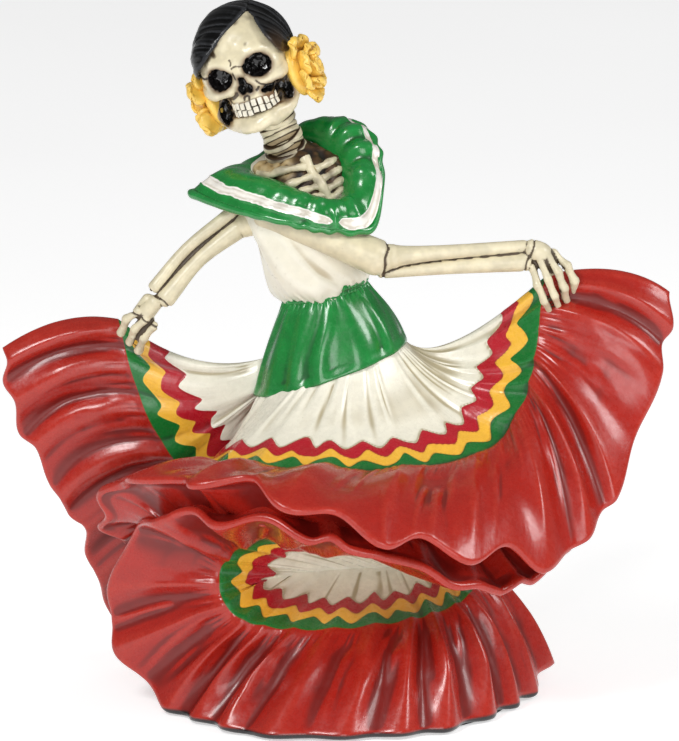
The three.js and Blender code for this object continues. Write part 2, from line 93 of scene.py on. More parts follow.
def bell(value: Array, width: float) -> Array:
    """A smooth bump, 1 where the value is nothing."""
    return np.exp(-((value / width) ** 2))


def mix(first: Array, second: Array, share: Array) -> Array:
    """Blends two arrays by a share."""
    return first + (second - first) * share


def unit(ways: Array) -> Array:
    """Gives directions the length 1."""
    return ways / np.maximum(np.linalg.norm(ways, axis=-1, keepdims=True), 1e-9)


class Line:
    """A smooth line through stations."""

    def __init__(self, points: Stations, closed: bool = False) -> None:
        """Takes the stations.

        Args:
            points: the stations.
            closed: whether the last station joins the first.
        """
        stations = np.array(points, float)
        self.closed = closed
        if closed:
            self.around = np.vstack([stations[-1:], stations, stations[:2]])
        else:
            self.around = np.vstack([2 * stations[0] - stations[1], stations, 2 * stations[-1] - stations[-2]])
        self.spans = len(self.around) - 3

    def __call__(self, share: Array) -> Array:
        """Gives the places at shares of the stations.

        Args:
            share: 0 at the first station, 1 at the last.

        Returns:
            The places.
        """
        share = np.asarray(share, float)
        reach = (share % 1 if self.closed else np.clip(share, 0, 1)) * self.spans
        index = np.minimum(np.floor(reach).astype(int), self.spans - 1)
        part = (reach - index)[..., None]
        before, start, end, after = (self.around[index + k] for k in range(4))
        leave, arrive = (end - before) / 2, (after - start) / 2
        cubic = 2 * start - 2 * end + leave + arrive
        square = -3 * start + 3 * end - 2 * leave - arrive
        return ((cubic * part + square) * part + leave) * part + start


def turned(axis: str, degrees: float) -> Array:
    """The 3 by 3 matrix of a turn about a named axis."""
    return np.array(Matrix.Rotation(math.radians(degrees), 3, axis))


class Grain:
    """Smooth random bumps between -1 and 1, the same on every run."""

    SIZE = 32

    def __init__(self, seed: int) -> None:
        """Makes the lattice of random values from a seed."""
        self.lattice = np.random.default_rng(seed).uniform(-1, 1, (self.SIZE,) * 3)

    def at(self, cells: Array) -> Array:
        """Reads the bumps.

        Args:
            cells: places, counted in cells of the lattice.

        Returns:
            One value for each place.
        """
        base = np.floor(cells).astype(int)
        part = cells - base
        part = part * part * (3 - 2 * part)
        total = np.zeros(cells.shape[:-1])
        for corner in itertools.product((0, 1), repeat=3):
            weight = np.prod(np.where(corner, part, 1 - part), axis=-1)
            total += weight * self.lattice[tuple(np.moveaxis((base + corner) % self.SIZE, -1, 0))]
        return total


# Closed meshes


@dataclass
class Shell:
    """A closed surface: points in drawn millimetres, four corners a face, and values at the points.

    A three-sided face repeats its last corner.
    """

    points: Array
    faces: Array
    layers: dict[str, Array] = field(default_factory=dict)

    def facing_out(self) -> "Shell":
        """Turns the faces round if they face inwards.

        Returns:
            The shell itself.
        """
        a, b, c, d = (self.points[self.faces[:, k]] for k in range(4))
        volume = np.einsum("ij,ij->i", a, np.cross(b, c) + np.cross(c, d)).sum()
        if volume < 0:
            triangles = self.faces[:, 2] == self.faces[:, 3]
            turned_faces = self.faces[:, ::-1].copy()
            turned_faces[triangles] = self.faces[triangles][:, [2, 1, 0, 0]]
            self.faces = turned_faces
        return self

    def edges(self) -> tuple[Array, Array]:
        """The two ends of every side of every face, both ways round.

        Returns:
            The first ends and the second ends.
        """
        start = self.faces.ravel()
        end = np.roll(self.faces, -1, axis=1).ravel()
        real = start != end
        start, end = start[real], end[real]
        return np.concatenate([start, end]), np.concatenate([end, start])

    def spread(self, start: Array, end: Array, values: Array, rounds: int) -> Array:
        """Averages values over neighbouring points, a number of times.

        Args:
            start: one end of each side.
            end: its other end.
            values: values at the points, one row each.
            rounds: how many times.

        Returns:
            The averaged values.
        """
        count = len(self.points)
        degree = np.maximum(np.bincount(start, minlength=count), 1)[:, None]
        for _ in range(rounds):
            sums = [np.bincount(start, weights=column[end], minlength=count) for column in values.T]
            values = np.stack(sums, axis=1) / degree
        return values

    def normals(self) -> Array:
        """The outward direction at each point.

        Returns:
            One direction of length 1 for each point.
        """
        a, b, c, d = (self.points[self.faces[:, k]] for k in range(4))
        flat = np.cross(c - a, np.where((self.faces[:, 2] == self.faces[:, 3])[:, None], c - b, d - b))
        sums = [
            np.bincount(self.faces.ravel(), weights=np.repeat(column, 4), minlength=len(self.points))
            for column in flat.T
        ]
        return unit(np.stack(sums, axis=1))

    def wash_and_shade_layers(self, fine: float = 0.05, broad: float = 0.5, rounds: int = 40) -> "Shell":
        """Finds where the hollows take washed-in dark paint and painted shade, and where the ridges take a painted
        highlight.

        Args:
            fine: depth in millimetres of a fine crease that takes the full washed-in dark paint and painted shade.
            broad: depth of a broad hollow that takes the full washed-in dark paint and painted shade.
            rounds: how far apart the broad hollow's rims may lie, in points.

        Returns:
            The shell, with the layer wash for washed-in dark paint and painted shade, and the layer ridge for the
            painted highlight.
        """
        start, end = self.edges()
        near = self.spread(start, end, self.points, 4)
        far = self.spread(start, end, near, rounds)
        out = self.normals()
        crease = np.einsum("ij,ij->i", near - self.points, out)
        hollow = np.einsum("ij,ij->i", far - self.points, out)
        # Hollows take washed-in dark paint and painted shade; ridges take a painted highlight.
        self.layers["wash"] = np.clip(0.6 * crease / fine + 0.7 * hollow / broad, 0, 1)
        self.layers["ridge"] = np.clip(-0.5 * crease / fine - 0.5 * hollow / broad, 0, 1)
        return self

    def stain(self, more: Array) -> "Shell":
        """Adds stain to the layer of washed-in dark paint and painted shade."""
        self.layers["wash"] = np.clip(self.layers["wash"] + more, 0, 1)
        return self


def pillow(outer: Array, inner: Array, layers: dict[str, Array], wrap: bool = False) -> Shell:
    """The closed sheet between two grids of points that meet along their rims.

    Args:
        outer: grid of points, columns by rows by 3.
        inner: the other side's grid, which meets outer on the rim.
        layers: values on the grid, the same on both sides.
        wrap: whether the last column joins the first.

    Returns:
        The closed shell.
    """
    columns, rows = outer.shape[:2]
    front = np.arange(columns * rows).reshape(columns, rows)
    rim = np.zeros((columns, rows), bool)
    rim[:, [0, -1]] = True
    if not wrap:
        rim[[0, -1], :] = True
    back = front.copy()
    back[~rim] = columns * rows + np.arange((~rim).sum())
    faces = []
    for grid, way in ((front, 1), (back, -1)):
        grid = np.vstack([grid, grid[:1]]) if wrap else grid
        quads = np.stack([grid[:-1, :-1], grid[1:, :-1], grid[1:, 1:], grid[:-1, 1:]], axis=-1)
        faces.append(quads.reshape(-1, 4)[:, ::way])
    points = np.vstack([outer.reshape(-1, 3), inner[~rim]])
    values = {
        name: np.concatenate([grid.reshape(-1, *grid.shape[2:]), grid[~rim]]) for name, grid in layers.items()
    }
    return Shell(points, np.vstack(faces), values).facing_out()


def stack(rings: Array, layers: dict[str, Array] | None = None) -> Shell:
    """The solid inside a stack of closed rings, its ends closed by fans.

    Args:
        rings: points, rings by corners by 3.
        layers: values on the rings' points.

    Returns:
        The closed shell.
    """
    count, sides = rings.shape[:2]
    grid = np.arange(count * sides).reshape(count, sides)
    grid = np.hstack([grid, grid[:, :1]])
    quads = np.stack([grid[:-1, :-1], grid[:-1, 1:], grid[1:, 1:], grid[1:, :-1]], axis=-1).reshape(-1, 4)
    ends = np.array([rings[0].mean(axis=0), rings[-1].mean(axis=0)])
    fans = []
    for k, (ring, flip) in enumerate(((grid[0], True), (grid[-1], False))):
        first, second = (ring[1:], ring[:-1]) if flip else (ring[:-1], ring[1:])
        tip = np.full(sides, count * sides + k)
        fans.append(np.stack([tip, first, second, second], axis=-1))
    values = {}
    for name, layer in (layers or {}).items():
        tips = np.array([layer[0].mean(axis=0), layer[-1].mean(axis=0)])
        values[name] = np.concatenate([layer.reshape(-1, *layer.shape[2:]), tips])
    return Shell(np.vstack([rings.reshape(-1, 3), ends]), np.vstack([quads, *fans]), values).facing_out()


def blended(first: Array, second: Array, soft: float) -> Array:
    """The smaller of two distances, with a soft change between them."""
    share = np.clip(0.5 + 0.5 * (second - first) / soft, 0, 1)
    return second + (first - second) * share - soft * share * (1 - share)


def lump(place: Array, middle: Sequence[float], radii: Sequence[float], turn: Array | None = None) -> Array:
    """How far places lie outside an ellipsoid.

    Args:
        place: the places.
        middle: the ellipsoid's middle.
        radii: its half sizes.
        turn: its turn.

    Returns:
        The distances.
    """
    offset = place - np.array(middle)
    if turn is not None:
        offset = offset @ turn
    near = np.linalg.norm(offset / np.array(radii), axis=-1)
    steep = np.linalg.norm(offset / np.array(radii) ** 2, axis=-1)
    return near * (near - 1) / np.maximum(steep, 1e-6)


def rod(place: Array, stations: Stations, radii: Sequence[float], pieces: int = 8) -> Array:
    """How far places lie outside a bone of round sections along a smooth line.

    Args:
        place: the places.
        stations: the line's stations.
        radii: a radius for each station.
        pieces: how many straight pieces the line is read as.

    Returns:
        The distances.
    """
    shares = np.linspace(0, 1, pieces + 1)
    spots = Line(stations)(shares)
    sizes = Line([[r, 0, 0] for r in radii])(shares)[:, 0]
    best = np.full(place.shape[:-1], 1e9)
    for start, end, thick, thin in zip(spots[:-1], spots[1:], sizes[:-1], sizes[1:], strict=True):
        way = end - start
        share = np.clip(((place - start) @ way) / (way @ way), 0, 1)
        gap = np.linalg.norm(place - start - share[..., None] * way, axis=-1)
        best = np.minimum(best, gap - mix(thick, thin, share))
    return best


def block(place: Array, middle: Sequence[float], half: Sequence[float], turn: float, soft: float) -> Array:
    """How far places lie outside a block with rounded edges, turned by degrees about the upright axis."""
    beyond = np.abs((place - np.array(middle)) @ turned("Z", turn)) - (np.array(half) - soft)
    return np.linalg.norm(np.maximum(beyond, 0), axis=-1) + np.minimum(beyond.max(axis=-1), 0) - soft


def near_line(spots: Array, stations: Stations) -> Array:
    """How far flat spots lie from a line of straight pieces.

    Args:
        spots: the spots, two numbers each.
        stations: the line's corners.

    Returns:
        The distances.
    """
    best = np.full(spots.shape[:-1], np.inf)
    for start, end in itertools.pairwise(np.array(stations, float)):
        way = end - start
        share = np.clip(((spots - start) @ way) / (way @ way), 0, 1)
        best = np.minimum(best, np.linalg.norm(spots - start - share[..., None] * way, axis=-1))
    return best


class Clay:
    """A form modelled in a box of distances: lumps are added and cut with soft joins, then a skin is drawn over it."""

    def __init__(self, low: Sequence[float], high: Sequence[float], step: float) -> None:
        """Sets out the box's grid.

        Args:
            low: the box's lowest corner.
            high: its highest corner.
            step: the grid's spacing, in millimetres.
        """
        axes = [np.arange(a, b + step, step, dtype=np.float32) for a, b in zip(low, high, strict=True)]
        self.low, self.step = np.array(low, float), step
        self.place = np.stack(np.meshgrid(*axes, indexing="ij"), axis=-1)
        self.distance = np.full(self.place.shape[:3], 1e3, np.float32)

    def add(self, distance: Array, soft: float = 0.5) -> None:
        """Adds a form, joined softly."""
        self.distance = blended(self.distance, distance, soft)

    def cut(self, distance: Array, soft: float = 0.4) -> None:
        """Cuts a form away, with a soft edge."""
        self.distance = -blended(-self.distance, distance, soft)

    def skin(self) -> Shell:
        """Draws the closed skin where the distance is nothing.

        Returns:
            The shell, one point for each grid cell that the skin crosses.
        """
        inside = self.distance < 0
        count = sum(
            inside[i : i + inside.shape[0] - 1, j : j + inside.shape[1] - 1, k : k + inside.shape[2] - 1].astype(int)
            for i, j, k in itertools.product((0, 1), repeat=3)
        )
        cells = np.argwhere((count > 0) & (count < 8))
        index = np.full(count.shape, -1)
        index[tuple(cells.T)] = np.arange(len(cells))
        sums, hits = np.zeros((len(cells), 3)), np.zeros(len(cells))
        corners = list(itertools.product((0, 1), repeat=3))
        for first, second in itertools.combinations(corners, 2):
            if sum(abs(a - b) for a, b in zip(first, second, strict=True)) != 1:
                continue
            at_first = self.distance[tuple((cells + first).T)]
            at_second = self.distance[tuple((cells + second).T)]
            crossed = (at_first < 0) != (at_second < 0)
            share = np.where(crossed, at_first / np.where(crossed, at_first - at_second, 1), 0)[:, None]
            spots = cells + np.array(first) + share * (np.array(second) - np.array(first))
            sums += spots * crossed[:, None]
            hits += crossed
        points = self.low + self.step * sums / hits[:, None]
        faces = []
        for axis in range(3):
            one, two = (k for k in range(3) if k != axis)
            ahead = np.moveaxis(inside, axis, 0)
            change = np.argwhere(ahead[:-1, 1:-1, 1:-1] != ahead[1:, 1:-1, 1:-1])
            spot = np.zeros_like(change)
            spot[:, axis], spot[:, one], spot[:, two] = change[:, 0], change[:, 1] + 1, change[:, 2] + 1
            starts_inside = inside[tuple(spot.T)]
            ring = []
            for back_one, back_two in ((1, 1), (0, 1), (0, 0), (1, 0)):
                cell = spot.copy()
                cell[:, one] -= back_one
                cell[:, two] -= back_two
                ring.append(index[tuple(cell.T)])
            quads = np.stack(ring, axis=-1)
            flip = starts_inside == (axis == 1)
            quads[flip] = quads[flip][:, ::-1]
            faces.append(quads)
        return Shell(points, np.vstack(faces)).facing_out()


# Painted finishes


def shade(red: int, green: int, blue: int) -> tuple[float, float, float, float]:
    """A colour in linear light from its screen values, 0 to 255."""
    return (*(((c / 255 + 0.055) / 1.055) ** 2.4 if c > 10 else c / 255 / 12.92 for c in (red, green, blue)), 1.0)


@dataclass(frozen=True)
class Paint:
    """One hand-painted colour: its plain tone, its deep tone for washed-in dark paint and painted shade in its
    hollows, and its painted highlight on its ridges.
    """

    plain: tuple[int, int, int]
    deep: tuple[int, int, int]
    painted_highlight: tuple[int, int, int]


# Each paint: plain tone, deep tone for washed-in dark paint and painted shade in hollows, painted highlight for
# ridges.
RUFFLE_RED = Paint((164, 31, 20), (92, 12, 8), (190, 60, 42))
TRIM_RED = Paint((178, 26, 40), (124, 16, 24), (204, 70, 80))
TRIM_YELLOW = Paint((243, 186, 62), (190, 130, 40), (250, 206, 100))
TRIM_GREEN = Paint((16, 112, 44), (6, 60, 24), (44, 144, 74))
CREAM_CLOTH = Paint((236, 232, 214), (150, 132, 84), (244, 242, 230))
BLOUSE_CREAM = Paint((230, 225, 206), (166, 146, 104), (242, 240, 228))
YOKE_GREEN = Paint((14, 122, 48), (4, 62, 24), (44, 148, 76))
BONE = Paint((214, 203, 170), (58, 38, 18), (232, 224, 198))
BONE_STAIN = Paint((176, 150, 104), (52, 32, 14), (222, 210, 176))
SOCKET = Paint((16, 13, 14), (8, 6, 6), (30, 26, 26))
SOCKET_RIM = Paint((92, 62, 34), (30, 18, 8), (150, 118, 78))
TEETH = Paint((226, 220, 200), (34, 22, 14), (240, 236, 224))
# The hair's third tone, a pale grey, is a painted highlight along the strands' ridges.
HAIR = Paint((9, 9, 9), (3, 3, 3), (84, 86, 90))
HAIR_EDGE = Paint((66, 48, 30), (20, 12, 8), (96, 74, 50))
ROSE_YELLOW = Paint((240, 194, 78), (182, 128, 36), (250, 214, 116))
BASE_BLACK = Paint((22, 20, 22), (8, 8, 8), (44, 40, 42))
STRIPE_WHITE = Paint((240, 236, 228), (190, 180, 160), (248, 246, 240))
HOLLOW_DARK = Paint((50, 31, 15), (12, 7, 4), (120, 88, 50))


class Layout:
    """A node tree laid out in plain steps."""

    PREFIX = ""

    def __init__(self, tree: bpy.types.NodeTree) -> None:
        """Takes the tree to lay out."""
        self.tree = tree

    def feed(self, socket: Socket, value: object) -> None:
        """Links a socket's value, or sets it where the value is plain.

        Args:
            socket: what takes the value.
            value: another node's socket, or a plain value.
        """
        if isinstance(value, Socket):
            self.tree.links.new(value, socket)
        else:
            socket.default_value = value

    def node(self, kind: str, inputs: dict[str, object] | None = None, **settings: object) -> Node:
        """Adds a node.

        Args:
            kind: its type, without the prefix.
            inputs: values or links for its named sockets.
            settings: its own settings.

        Returns:
            The node.
        """
        made = self.tree.nodes.new(self.PREFIX + kind)
        for name, value in settings.items():
            setattr(made, name, value)
        for name, value in (inputs or {}).items():
            self.feed(next(one for one in made.inputs if one.name == name and one.enabled), value)
        return made

    def out(self, kind: str, inputs: dict[str, object] | None = None, **settings: object) -> Socket:
        """Adds a node and gives its first output."""
        return self.node(kind, inputs, **settings).outputs[0]

    def calc(self, operation: str, *values: object) -> Socket:
        """Works out a number from others.

        Args:
            operation: the kind of sum.
            values: its numbers.

        Returns:
            The result.
        """
        made = self.tree.nodes.new("ShaderNodeMath")
        made.operation = operation
        for socket, value in zip(made.inputs, values, strict=False):
            self.feed(socket, value)
        return made.outputs[0]

    def plus(self, first: object, second: object) -> Socket:
        """Adds two numbers."""
        return self.calc("ADD", first, second)

    def minus(self, first: object, second: object) -> Socket:
        """Takes the second number from the first."""
        return self.calc("SUBTRACT", first, second)

    def times(self, first: object, second: object) -> Socket:
        """Multiplies two numbers."""
        return self.calc("MULTIPLY", first, second)


class Recipe(Layout):
    """The nodes of one material."""

    PREFIX = "ShaderNode"

    def __init__(self, name: str) -> None:
        """Starts a material with its shader.

        Args:
            name: the material's name.
        """
        self.material = bpy.data.materials.new(name)
        self.material.use_nodes = True
        super().__init__(self.material.node_tree)
        self.shader = next(n for n in self.tree.nodes if n.type == "BSDF_PRINCIPLED")

    def finish(self, inputs: dict[str, object]) -> None:
        """Gives the shader's named sockets their values."""
        for name, value in inputs.items():
            self.feed(self.shader.inputs[name], value)

    def blend(self, share: object, first: object, second: object, way: str = "MIX") -> Socket:
        """Blends two colours.

        Args:
            share: how much of the second.
            first: the first colour.
            second: the second colour.
            way: how they are mixed.

        Returns:
            The blended colour.
        """
        made = self.node("Mix", data_type="RGBA", blend_type=way)
        for k, value in ((0, share), (6, first), (7, second)):
            self.feed(made.inputs[k], value)
        return made.outputs[2]

    def between(self, value: object, low: float, high: float, start: float = 0.0, end: float = 1.0) -> Socket:
        """Rises from start to end as a value passes from low to high."""
        limits = {"Value": value, "From Min": low, "From Max": high, "To Min": start, "To Max": end}
        return self.node("MapRange", limits, interpolation_type="SMOOTHSTEP").outputs["Result"]

    def layer(self, name: str, output: str = "Fac") -> Socket:
        """Reads one of the mesh's own layers."""
        return self.node("Attribute", attribute_name=name).outputs[output]

    def place(self) -> Socket:
        """Where a point lies on the piece."""
        return self.node("TexCoord").outputs["Object"]

    def height(self) -> Socket:
        """How high a point lies, in metres."""
        return self.node("SeparateXYZ", {"Vector": self.place()}).outputs[2]

    def noise(self, scale: float, detail: float = 2.0, place: Socket | None = None) -> Socket:
        """Cloudy noise around a half."""
        inputs = {"Vector": place or self.place(), "Scale": scale, "Detail": detail, "Roughness": 0.55}
        return self.node("TexNoise", inputs).outputs["Fac"]

    def brush_marks(self) -> Socket:
        """Noise drawn out along the cloth, from the seam to the hem."""
        on_cloth = self.node("UVMap", uv_map="Flow").outputs["UV"]
        return self.noise(1.0, 3, self.out("Mapping", {"Vector": on_cloth, "Scale": (1.1, 0.12, 1)}))


def all_over(paint: "Paint") -> Callable[[Recipe], Iterable["Zone"]]:
    """The zones of a piece with one paint all over."""
    return lambda recipe: [Zone(paint)]


@dataclass(frozen=True)
class Zone:
    """Where a paint lies: a mask socket, or the whole surface when there is none."""

    paint: Paint
    mask: Socket | None = None


@dataclass(frozen=True)
class Finish:
    """How a painted surface looks: its gloss, its washed-in dark paint and painted shade in the hollows, its painted
    highlight on the ridges and its brush marks.
    """

    name: str
    gloss: float = 0.34  # roughness of the dry paint
    wash: float = 0.8  # how much washed-in dark paint and painted shade darkens the hollows
    highlight_share: float = 0.5  # how far the ridges are lightened with a painted highlight
    cloud: float = 0.16  # how unevenly the washed-in dark paint and painted shade lie
    coat: float = 0.25
    bumps: float = 0.00006  # height of the cast skin's grain, in metres
    strokes: bool = False  # brush marks that follow the cloth
    speck: float = 0.25  # how dark the small flecks are
    wet: str = ""  # a layer where the paint lies thick and glossy
    shine: float = 0.5  # how strongly a plain surface mirrors
    soil: float = 0.0  # how much of the washed-in dark paint is left all over
    mottle: float = 1.0  # how far the tone drifts from place to place
    # Scales of the surface's noises, in cycles per metre
    CLOUDS = 90
    DRIFT = 260
    GRAIN = 700
    FLECKS = 420.0
    FLECKED = 120
    SKIN = 2200

    def material(self, zones: Callable[[Recipe], Iterable[Zone]]) -> Material:
        """Makes the material.

        Args:
            zones: given the recipe, lists where each paint lies, the ground first.

        Returns:
            The finished material.
        """
        recipe = Recipe(self.name)
        tones: list[object] = []
        for zone in zones(recipe):
            new = [shade(*colour) for colour in (zone.paint.plain, zone.paint.deep, zone.paint.painted_highlight)]
            mask = zone.mask
            tones = new if mask is None else [recipe.blend(mask, *pair) for pair in zip(tones, new, strict=True)]
        plain, deep, painted_highlight = tones
        fine = recipe.noise(self.GRAIN, 4)
        uneven = recipe.times(recipe.minus(recipe.noise(self.CLOUDS, 3), 0.5), 4 * self.cloud)
        # The hollows are darkened with washed-in dark paint and painted shade, and the ridges lightened with a painted
        # highlight.
        spread = recipe.plus(recipe.plus(recipe.layer("wash"), uneven), self.soil)
        grime_and_shade = recipe.times(recipe.between(spread, 0.12, 0.95), self.wash)
        highlit = recipe.times(recipe.between(recipe.layer("ridge"), 0.1, 0.9), self.highlight_share)
        colour = recipe.blend(recipe.times(highlit, fine), plain, painted_highlight)
        colour = recipe.blend(grime_and_shade, colour, deep)
        dark, light = (1 - 0.14 * self.mottle,) * 3 + (1,), (1 + 0.08 * self.mottle,) * 3 + (1,)
        drift = recipe.blend(recipe.between(recipe.noise(self.DRIFT, 2), 0.3, 0.75), dark, light)
        colour = recipe.blend(1.0, colour, drift, "MULTIPLY")
        cells = {"Vector": recipe.place(), "Scale": self.FLECKS}
        flecks = recipe.between(recipe.node("TexVoronoi", cells, feature="F1").outputs["Distance"], 0.1, 0.04)
        flecks = recipe.times(flecks, recipe.between(recipe.noise(self.FLECKED, 1), 0.55, 0.66))
        colour = recipe.blend(recipe.times(flecks, self.speck), colour, deep)
        rough = recipe.between(fine, 0.3, 0.8, self.gloss - 0.05, self.gloss + 0.08)
        rough = recipe.plus(rough, recipe.times(grime_and_shade, 0.15))
        if self.wet:
            rough = recipe.times(rough, recipe.between(recipe.layer(self.wet), 0.2, 0.8, 1.0, 0.4))
        height = recipe.plus(recipe.times(fine, 0.6), recipe.times(recipe.noise(self.SKIN, 2), 0.3))
        if self.strokes:
            height = recipe.plus(height, recipe.times(recipe.brush_marks(), 1.2))
        bump = recipe.node("Bump", {"Height": height, "Distance": self.bumps, "Strength": 1.0})
        recipe.finish(
            {
                "Base Color": colour,
                "Roughness": rough,
                "Specular IOR Level": self.shine,
                "Coat Weight": self.coat,
                "Coat Roughness": 0.12,
                "Normal": bump.outputs["Normal"],
            }
        )
        return recipe.material


# Rules for what repeats


class Rule(Layout):
    """A geometry-nodes group with named inputs, which grows what repeats."""

    def __init__(self, name: str) -> None:
        """Starts a group that turns one geometry into another.

        Args:
            name: the group's name.
        """
        super().__init__(bpy.data.node_groups.new(name, "GeometryNodeTree"))
        for way in ("INPUT", "OUTPUT"):
            self.tree.interface.new_socket("Geometry", in_out=way, socket_type="NodeSocketGeometry")
        self.start = self.tree.nodes.new("NodeGroupInput")
        self.end = self.tree.nodes.new("NodeGroupOutput")
        self.values: dict[str, object] = {}

    def given(self, name: str, kind: str, value: object) -> Socket:
        """Adds a named input.

        Args:
            name: the input's name.
            kind: its socket type, without its prefix.
            value: what it is set to.

        Returns:
            The socket to read it from.
        """
        made = self.tree.interface.new_socket(name, in_out="INPUT", socket_type="NodeSocket" + kind)
        self.values[made.identifier] = value
        return self.start.outputs[name]

    def vector(self, *values: object) -> Socket:
        """Joins three numbers into a vector."""
        return self.out("ShaderNodeCombineXYZ", dict(zip("XYZ", values, strict=True)))

    def chance(self, low: float, high: float, seed: object) -> Socket:
        """A random number for each element."""
        inputs = {"Min": low, "Max": high, "Seed": seed}
        return self.node("FunctionNodeRandomValue", inputs, data_type="FLOAT").outputs["Value"]

    def rotation(self, *turns: object) -> Socket:
        """The rotation that three turns make, in radians."""
        return self.out("FunctionNodeEulerToRotation", {"Euler": self.vector(*turns)})

    def instances(self, points: Socket, rotation: Socket, *scale: object) -> Socket:
        """Sets the given geometry on each point."""
        inputs = {"Points": points, "Instance": self.start.outputs[0], "Rotation": rotation}
        return self.out("GeometryNodeInstanceOnPoints", {**inputs, "Scale": self.vector(*scale)})

    def finish(self, geometry: Socket, material: Material) -> None:
        """Makes the instances real and gives them their finish.

        Args:
            geometry: the instances.
            material: their finish.
        """
        real = self.out("GeometryNodeRealizeInstances", {"Geometry": geometry})
        painted = self.out("GeometryNodeSetMaterial", {"Geometry": real, "Material": material})
        self.tree.links.new(painted, self.end.inputs[0])

    def grow(self, name: str, mesh: Mesh) -> Object:
        """Runs the rule on a mesh.

        Args:
            name: the new piece's name.
            mesh: what the rule starts from.

        Returns:
            The piece, as plain mesh.
        """
        piece = add_object(name, mesh)
        modifier = piece.modifiers.new("rule", "NODES")
        modifier.node_group = self.tree
        for identifier, value in self.values.items():
            modifier[identifier] = value
        evaluated = piece.evaluated_get(bpy.context.evaluated_depsgraph_get())
        grown = bpy.data.meshes.new_from_object(evaluated)
        piece.modifiers.remove(modifier)
        piece.data = grown
        grown.name = name
        return piece


def grown_wash_and_shade_layers(mesh: Mesh, fine: float, broad: float, rounds: int) -> None:
    """Finds where a grown mesh takes washed-in dark paint and painted shade, and where its ridges lie, and adds the
    stain that its layer ink asks for.

    Args:
        mesh: the grown mesh.
        fine: as in `Shell.wash_and_shade_layers`.
        broad: the same.
        rounds: the same.
    """
    places = np.zeros(3 * len(mesh.vertices))
    mesh.vertices.foreach_get("co", places)
    mesh.calc_loop_triangles()
    corners = np.zeros(3 * len(mesh.loop_triangles), int)
    mesh.loop_triangles.foreach_get("vertices", corners)
    corners = corners.reshape(-1, 3)
    shell = Shell(places.reshape(-1, 3) / MM, np.hstack([corners, corners[:, 2:]])).wash_and_shade_layers(fine, broad, rounds)
    if ink := mesh.attributes.get("ink"):
        values = np.zeros(len(mesh.vertices), np.float32)
        ink.data.foreach_get("value", values)
        shell.stain(values)
    for title, values in shell.layers.items():
        mesh.attributes.new(title, "FLOAT", "POINT").data.foreach_set("value", values.astype(np.float32))
    mesh.shade_smooth()


# Pieces in the scene


def mesh_of(name: str, shell: Shell) -> Mesh:
    """Makes a smooth mesh from a shell, with its layers.

    Args:
        name: the mesh's name.
        shell: the closed surface.

    Returns:
        The mesh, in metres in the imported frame.
    """
    corners = [f[:3] if f[2] == f[3] else f for f in shell.faces.tolist()]
    mesh = bpy.data.meshes.new(name)
    mesh.from_pydata(in_frame(shell.points).tolist(), [], corners)
    for title, values in shell.layers.items():
        if title == "Flow":
            spots = np.zeros(len(mesh.loops), int)
            mesh.loops.foreach_get("vertex_index", spots)
            mesh.uv_layers.new(name=title).data.foreach_set("uv", values[spots].astype(np.float32).ravel())
        elif values.ndim == 2:
            made = mesh.attributes.new(title, "FLOAT_VECTOR", "POINT")
            made.data.foreach_set("vector", values.astype(np.float32).ravel())
        else:
            made = mesh.attributes.new(title, "FLOAT", "POINT")
            made.data.foreach_set("value", values.astype(np.float32))
    mesh.shade_smooth()
    return mesh


def hand_over(piece: Object) -> Object:
    """Gives a finished piece to the frame.

    Args:
        piece: the object.

    Returns:
        The piece.
    """
    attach(piece, BODY)
    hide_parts(NODE)
    log.info("%s: %d faces", piece.name, len(piece.data.polygons))
    return piece


def add_object(name: str, data: bpy.types.ID) -> Object:
    """Adds an object to the scene.

    Args:
        name: its name.
        data: its mesh, light or camera.

    Returns:
        The object.
    """
    made = bpy.data.objects.new(name, data)
    bpy.context.scene.collection.objects.link(made)
    return made


def add_piece(name: str, shell: Shell, material: Material) -> Object:
    """Makes a piece of the figure from a shell and a material.

    Args:
        name: its name.
        shell: its surface.
        material: its finish.

    Returns:
        The piece.
    """
    mesh = mesh_of(name, shell)
    mesh.materials.append(material)
    return hand_over(add_object(name, mesh))


def pattern(name: str, shell: Shell) -> Mesh:
    """Makes the mesh that a rule repeats, about its own origin.

    Args:
        name: its name.
        shell: its surface.

    Returns:
        The mesh.
    """
    mesh = mesh_of(name, shell)
    mesh.transform(Matrix.Translation((-FIGURE_PLACE * MM).tolist()))
    return mesh


def put(mesh: Mesh, turn: Array, middle: Array) -> None:
    """Turns a grown mesh about its origin and moves it to its drawn place.

    Args:
        mesh: the mesh.
        turn: its turn.
        middle: its place, in drawn millimetres.
    """
    placed = Matrix(turn.tolist()).to_4x4()
    placed.translation = Vector(in_frame(middle))
    mesh.transform(placed)


def ellipse(row: Sequence[float], turns: Array) -> Array:
    """The points of an ellipse standing at a height.

    Args:
        row: its height, middle x and y, half widths, and how far its +X side is lifted.
        turns: shares of a turn, from +X.

    Returns:
        The points.
    """
    height, x, y, half_x, half_y, lean = (*row, 0.0)[:6]
    across = half_x * np.cos(turns * TURN)
    return np.stack([x + across, y + half_y * np.sin(turns * TURN), height + lean * across], axis=-1)


def rounded(rim: Array, half: float) -> Array:
    """The half thickness of a sheet, rounded off to nothing at its rim."""
    return half * np.sqrt(np.clip(1 - (1 - np.minimum(rim / half, 1)) ** 2, 0, 1))


def ways_around(turns: Array) -> Array:
    """The outward directions at shares of a turn, from +X."""
    return np.stack([np.cos(turns * TURN), np.sin(turns * TURN), 0 * turns], axis=-1)


def cells_around(angle: Array, reach: float, rise: Array) -> Array:
    """Places on a ring of a grain's lattice, so that the bumps meet where the turn closes."""
    return np.stack([reach * np.cos(angle) + 9, reach * np.sin(angle) + 9, rise + 0 * angle], axis=-1)


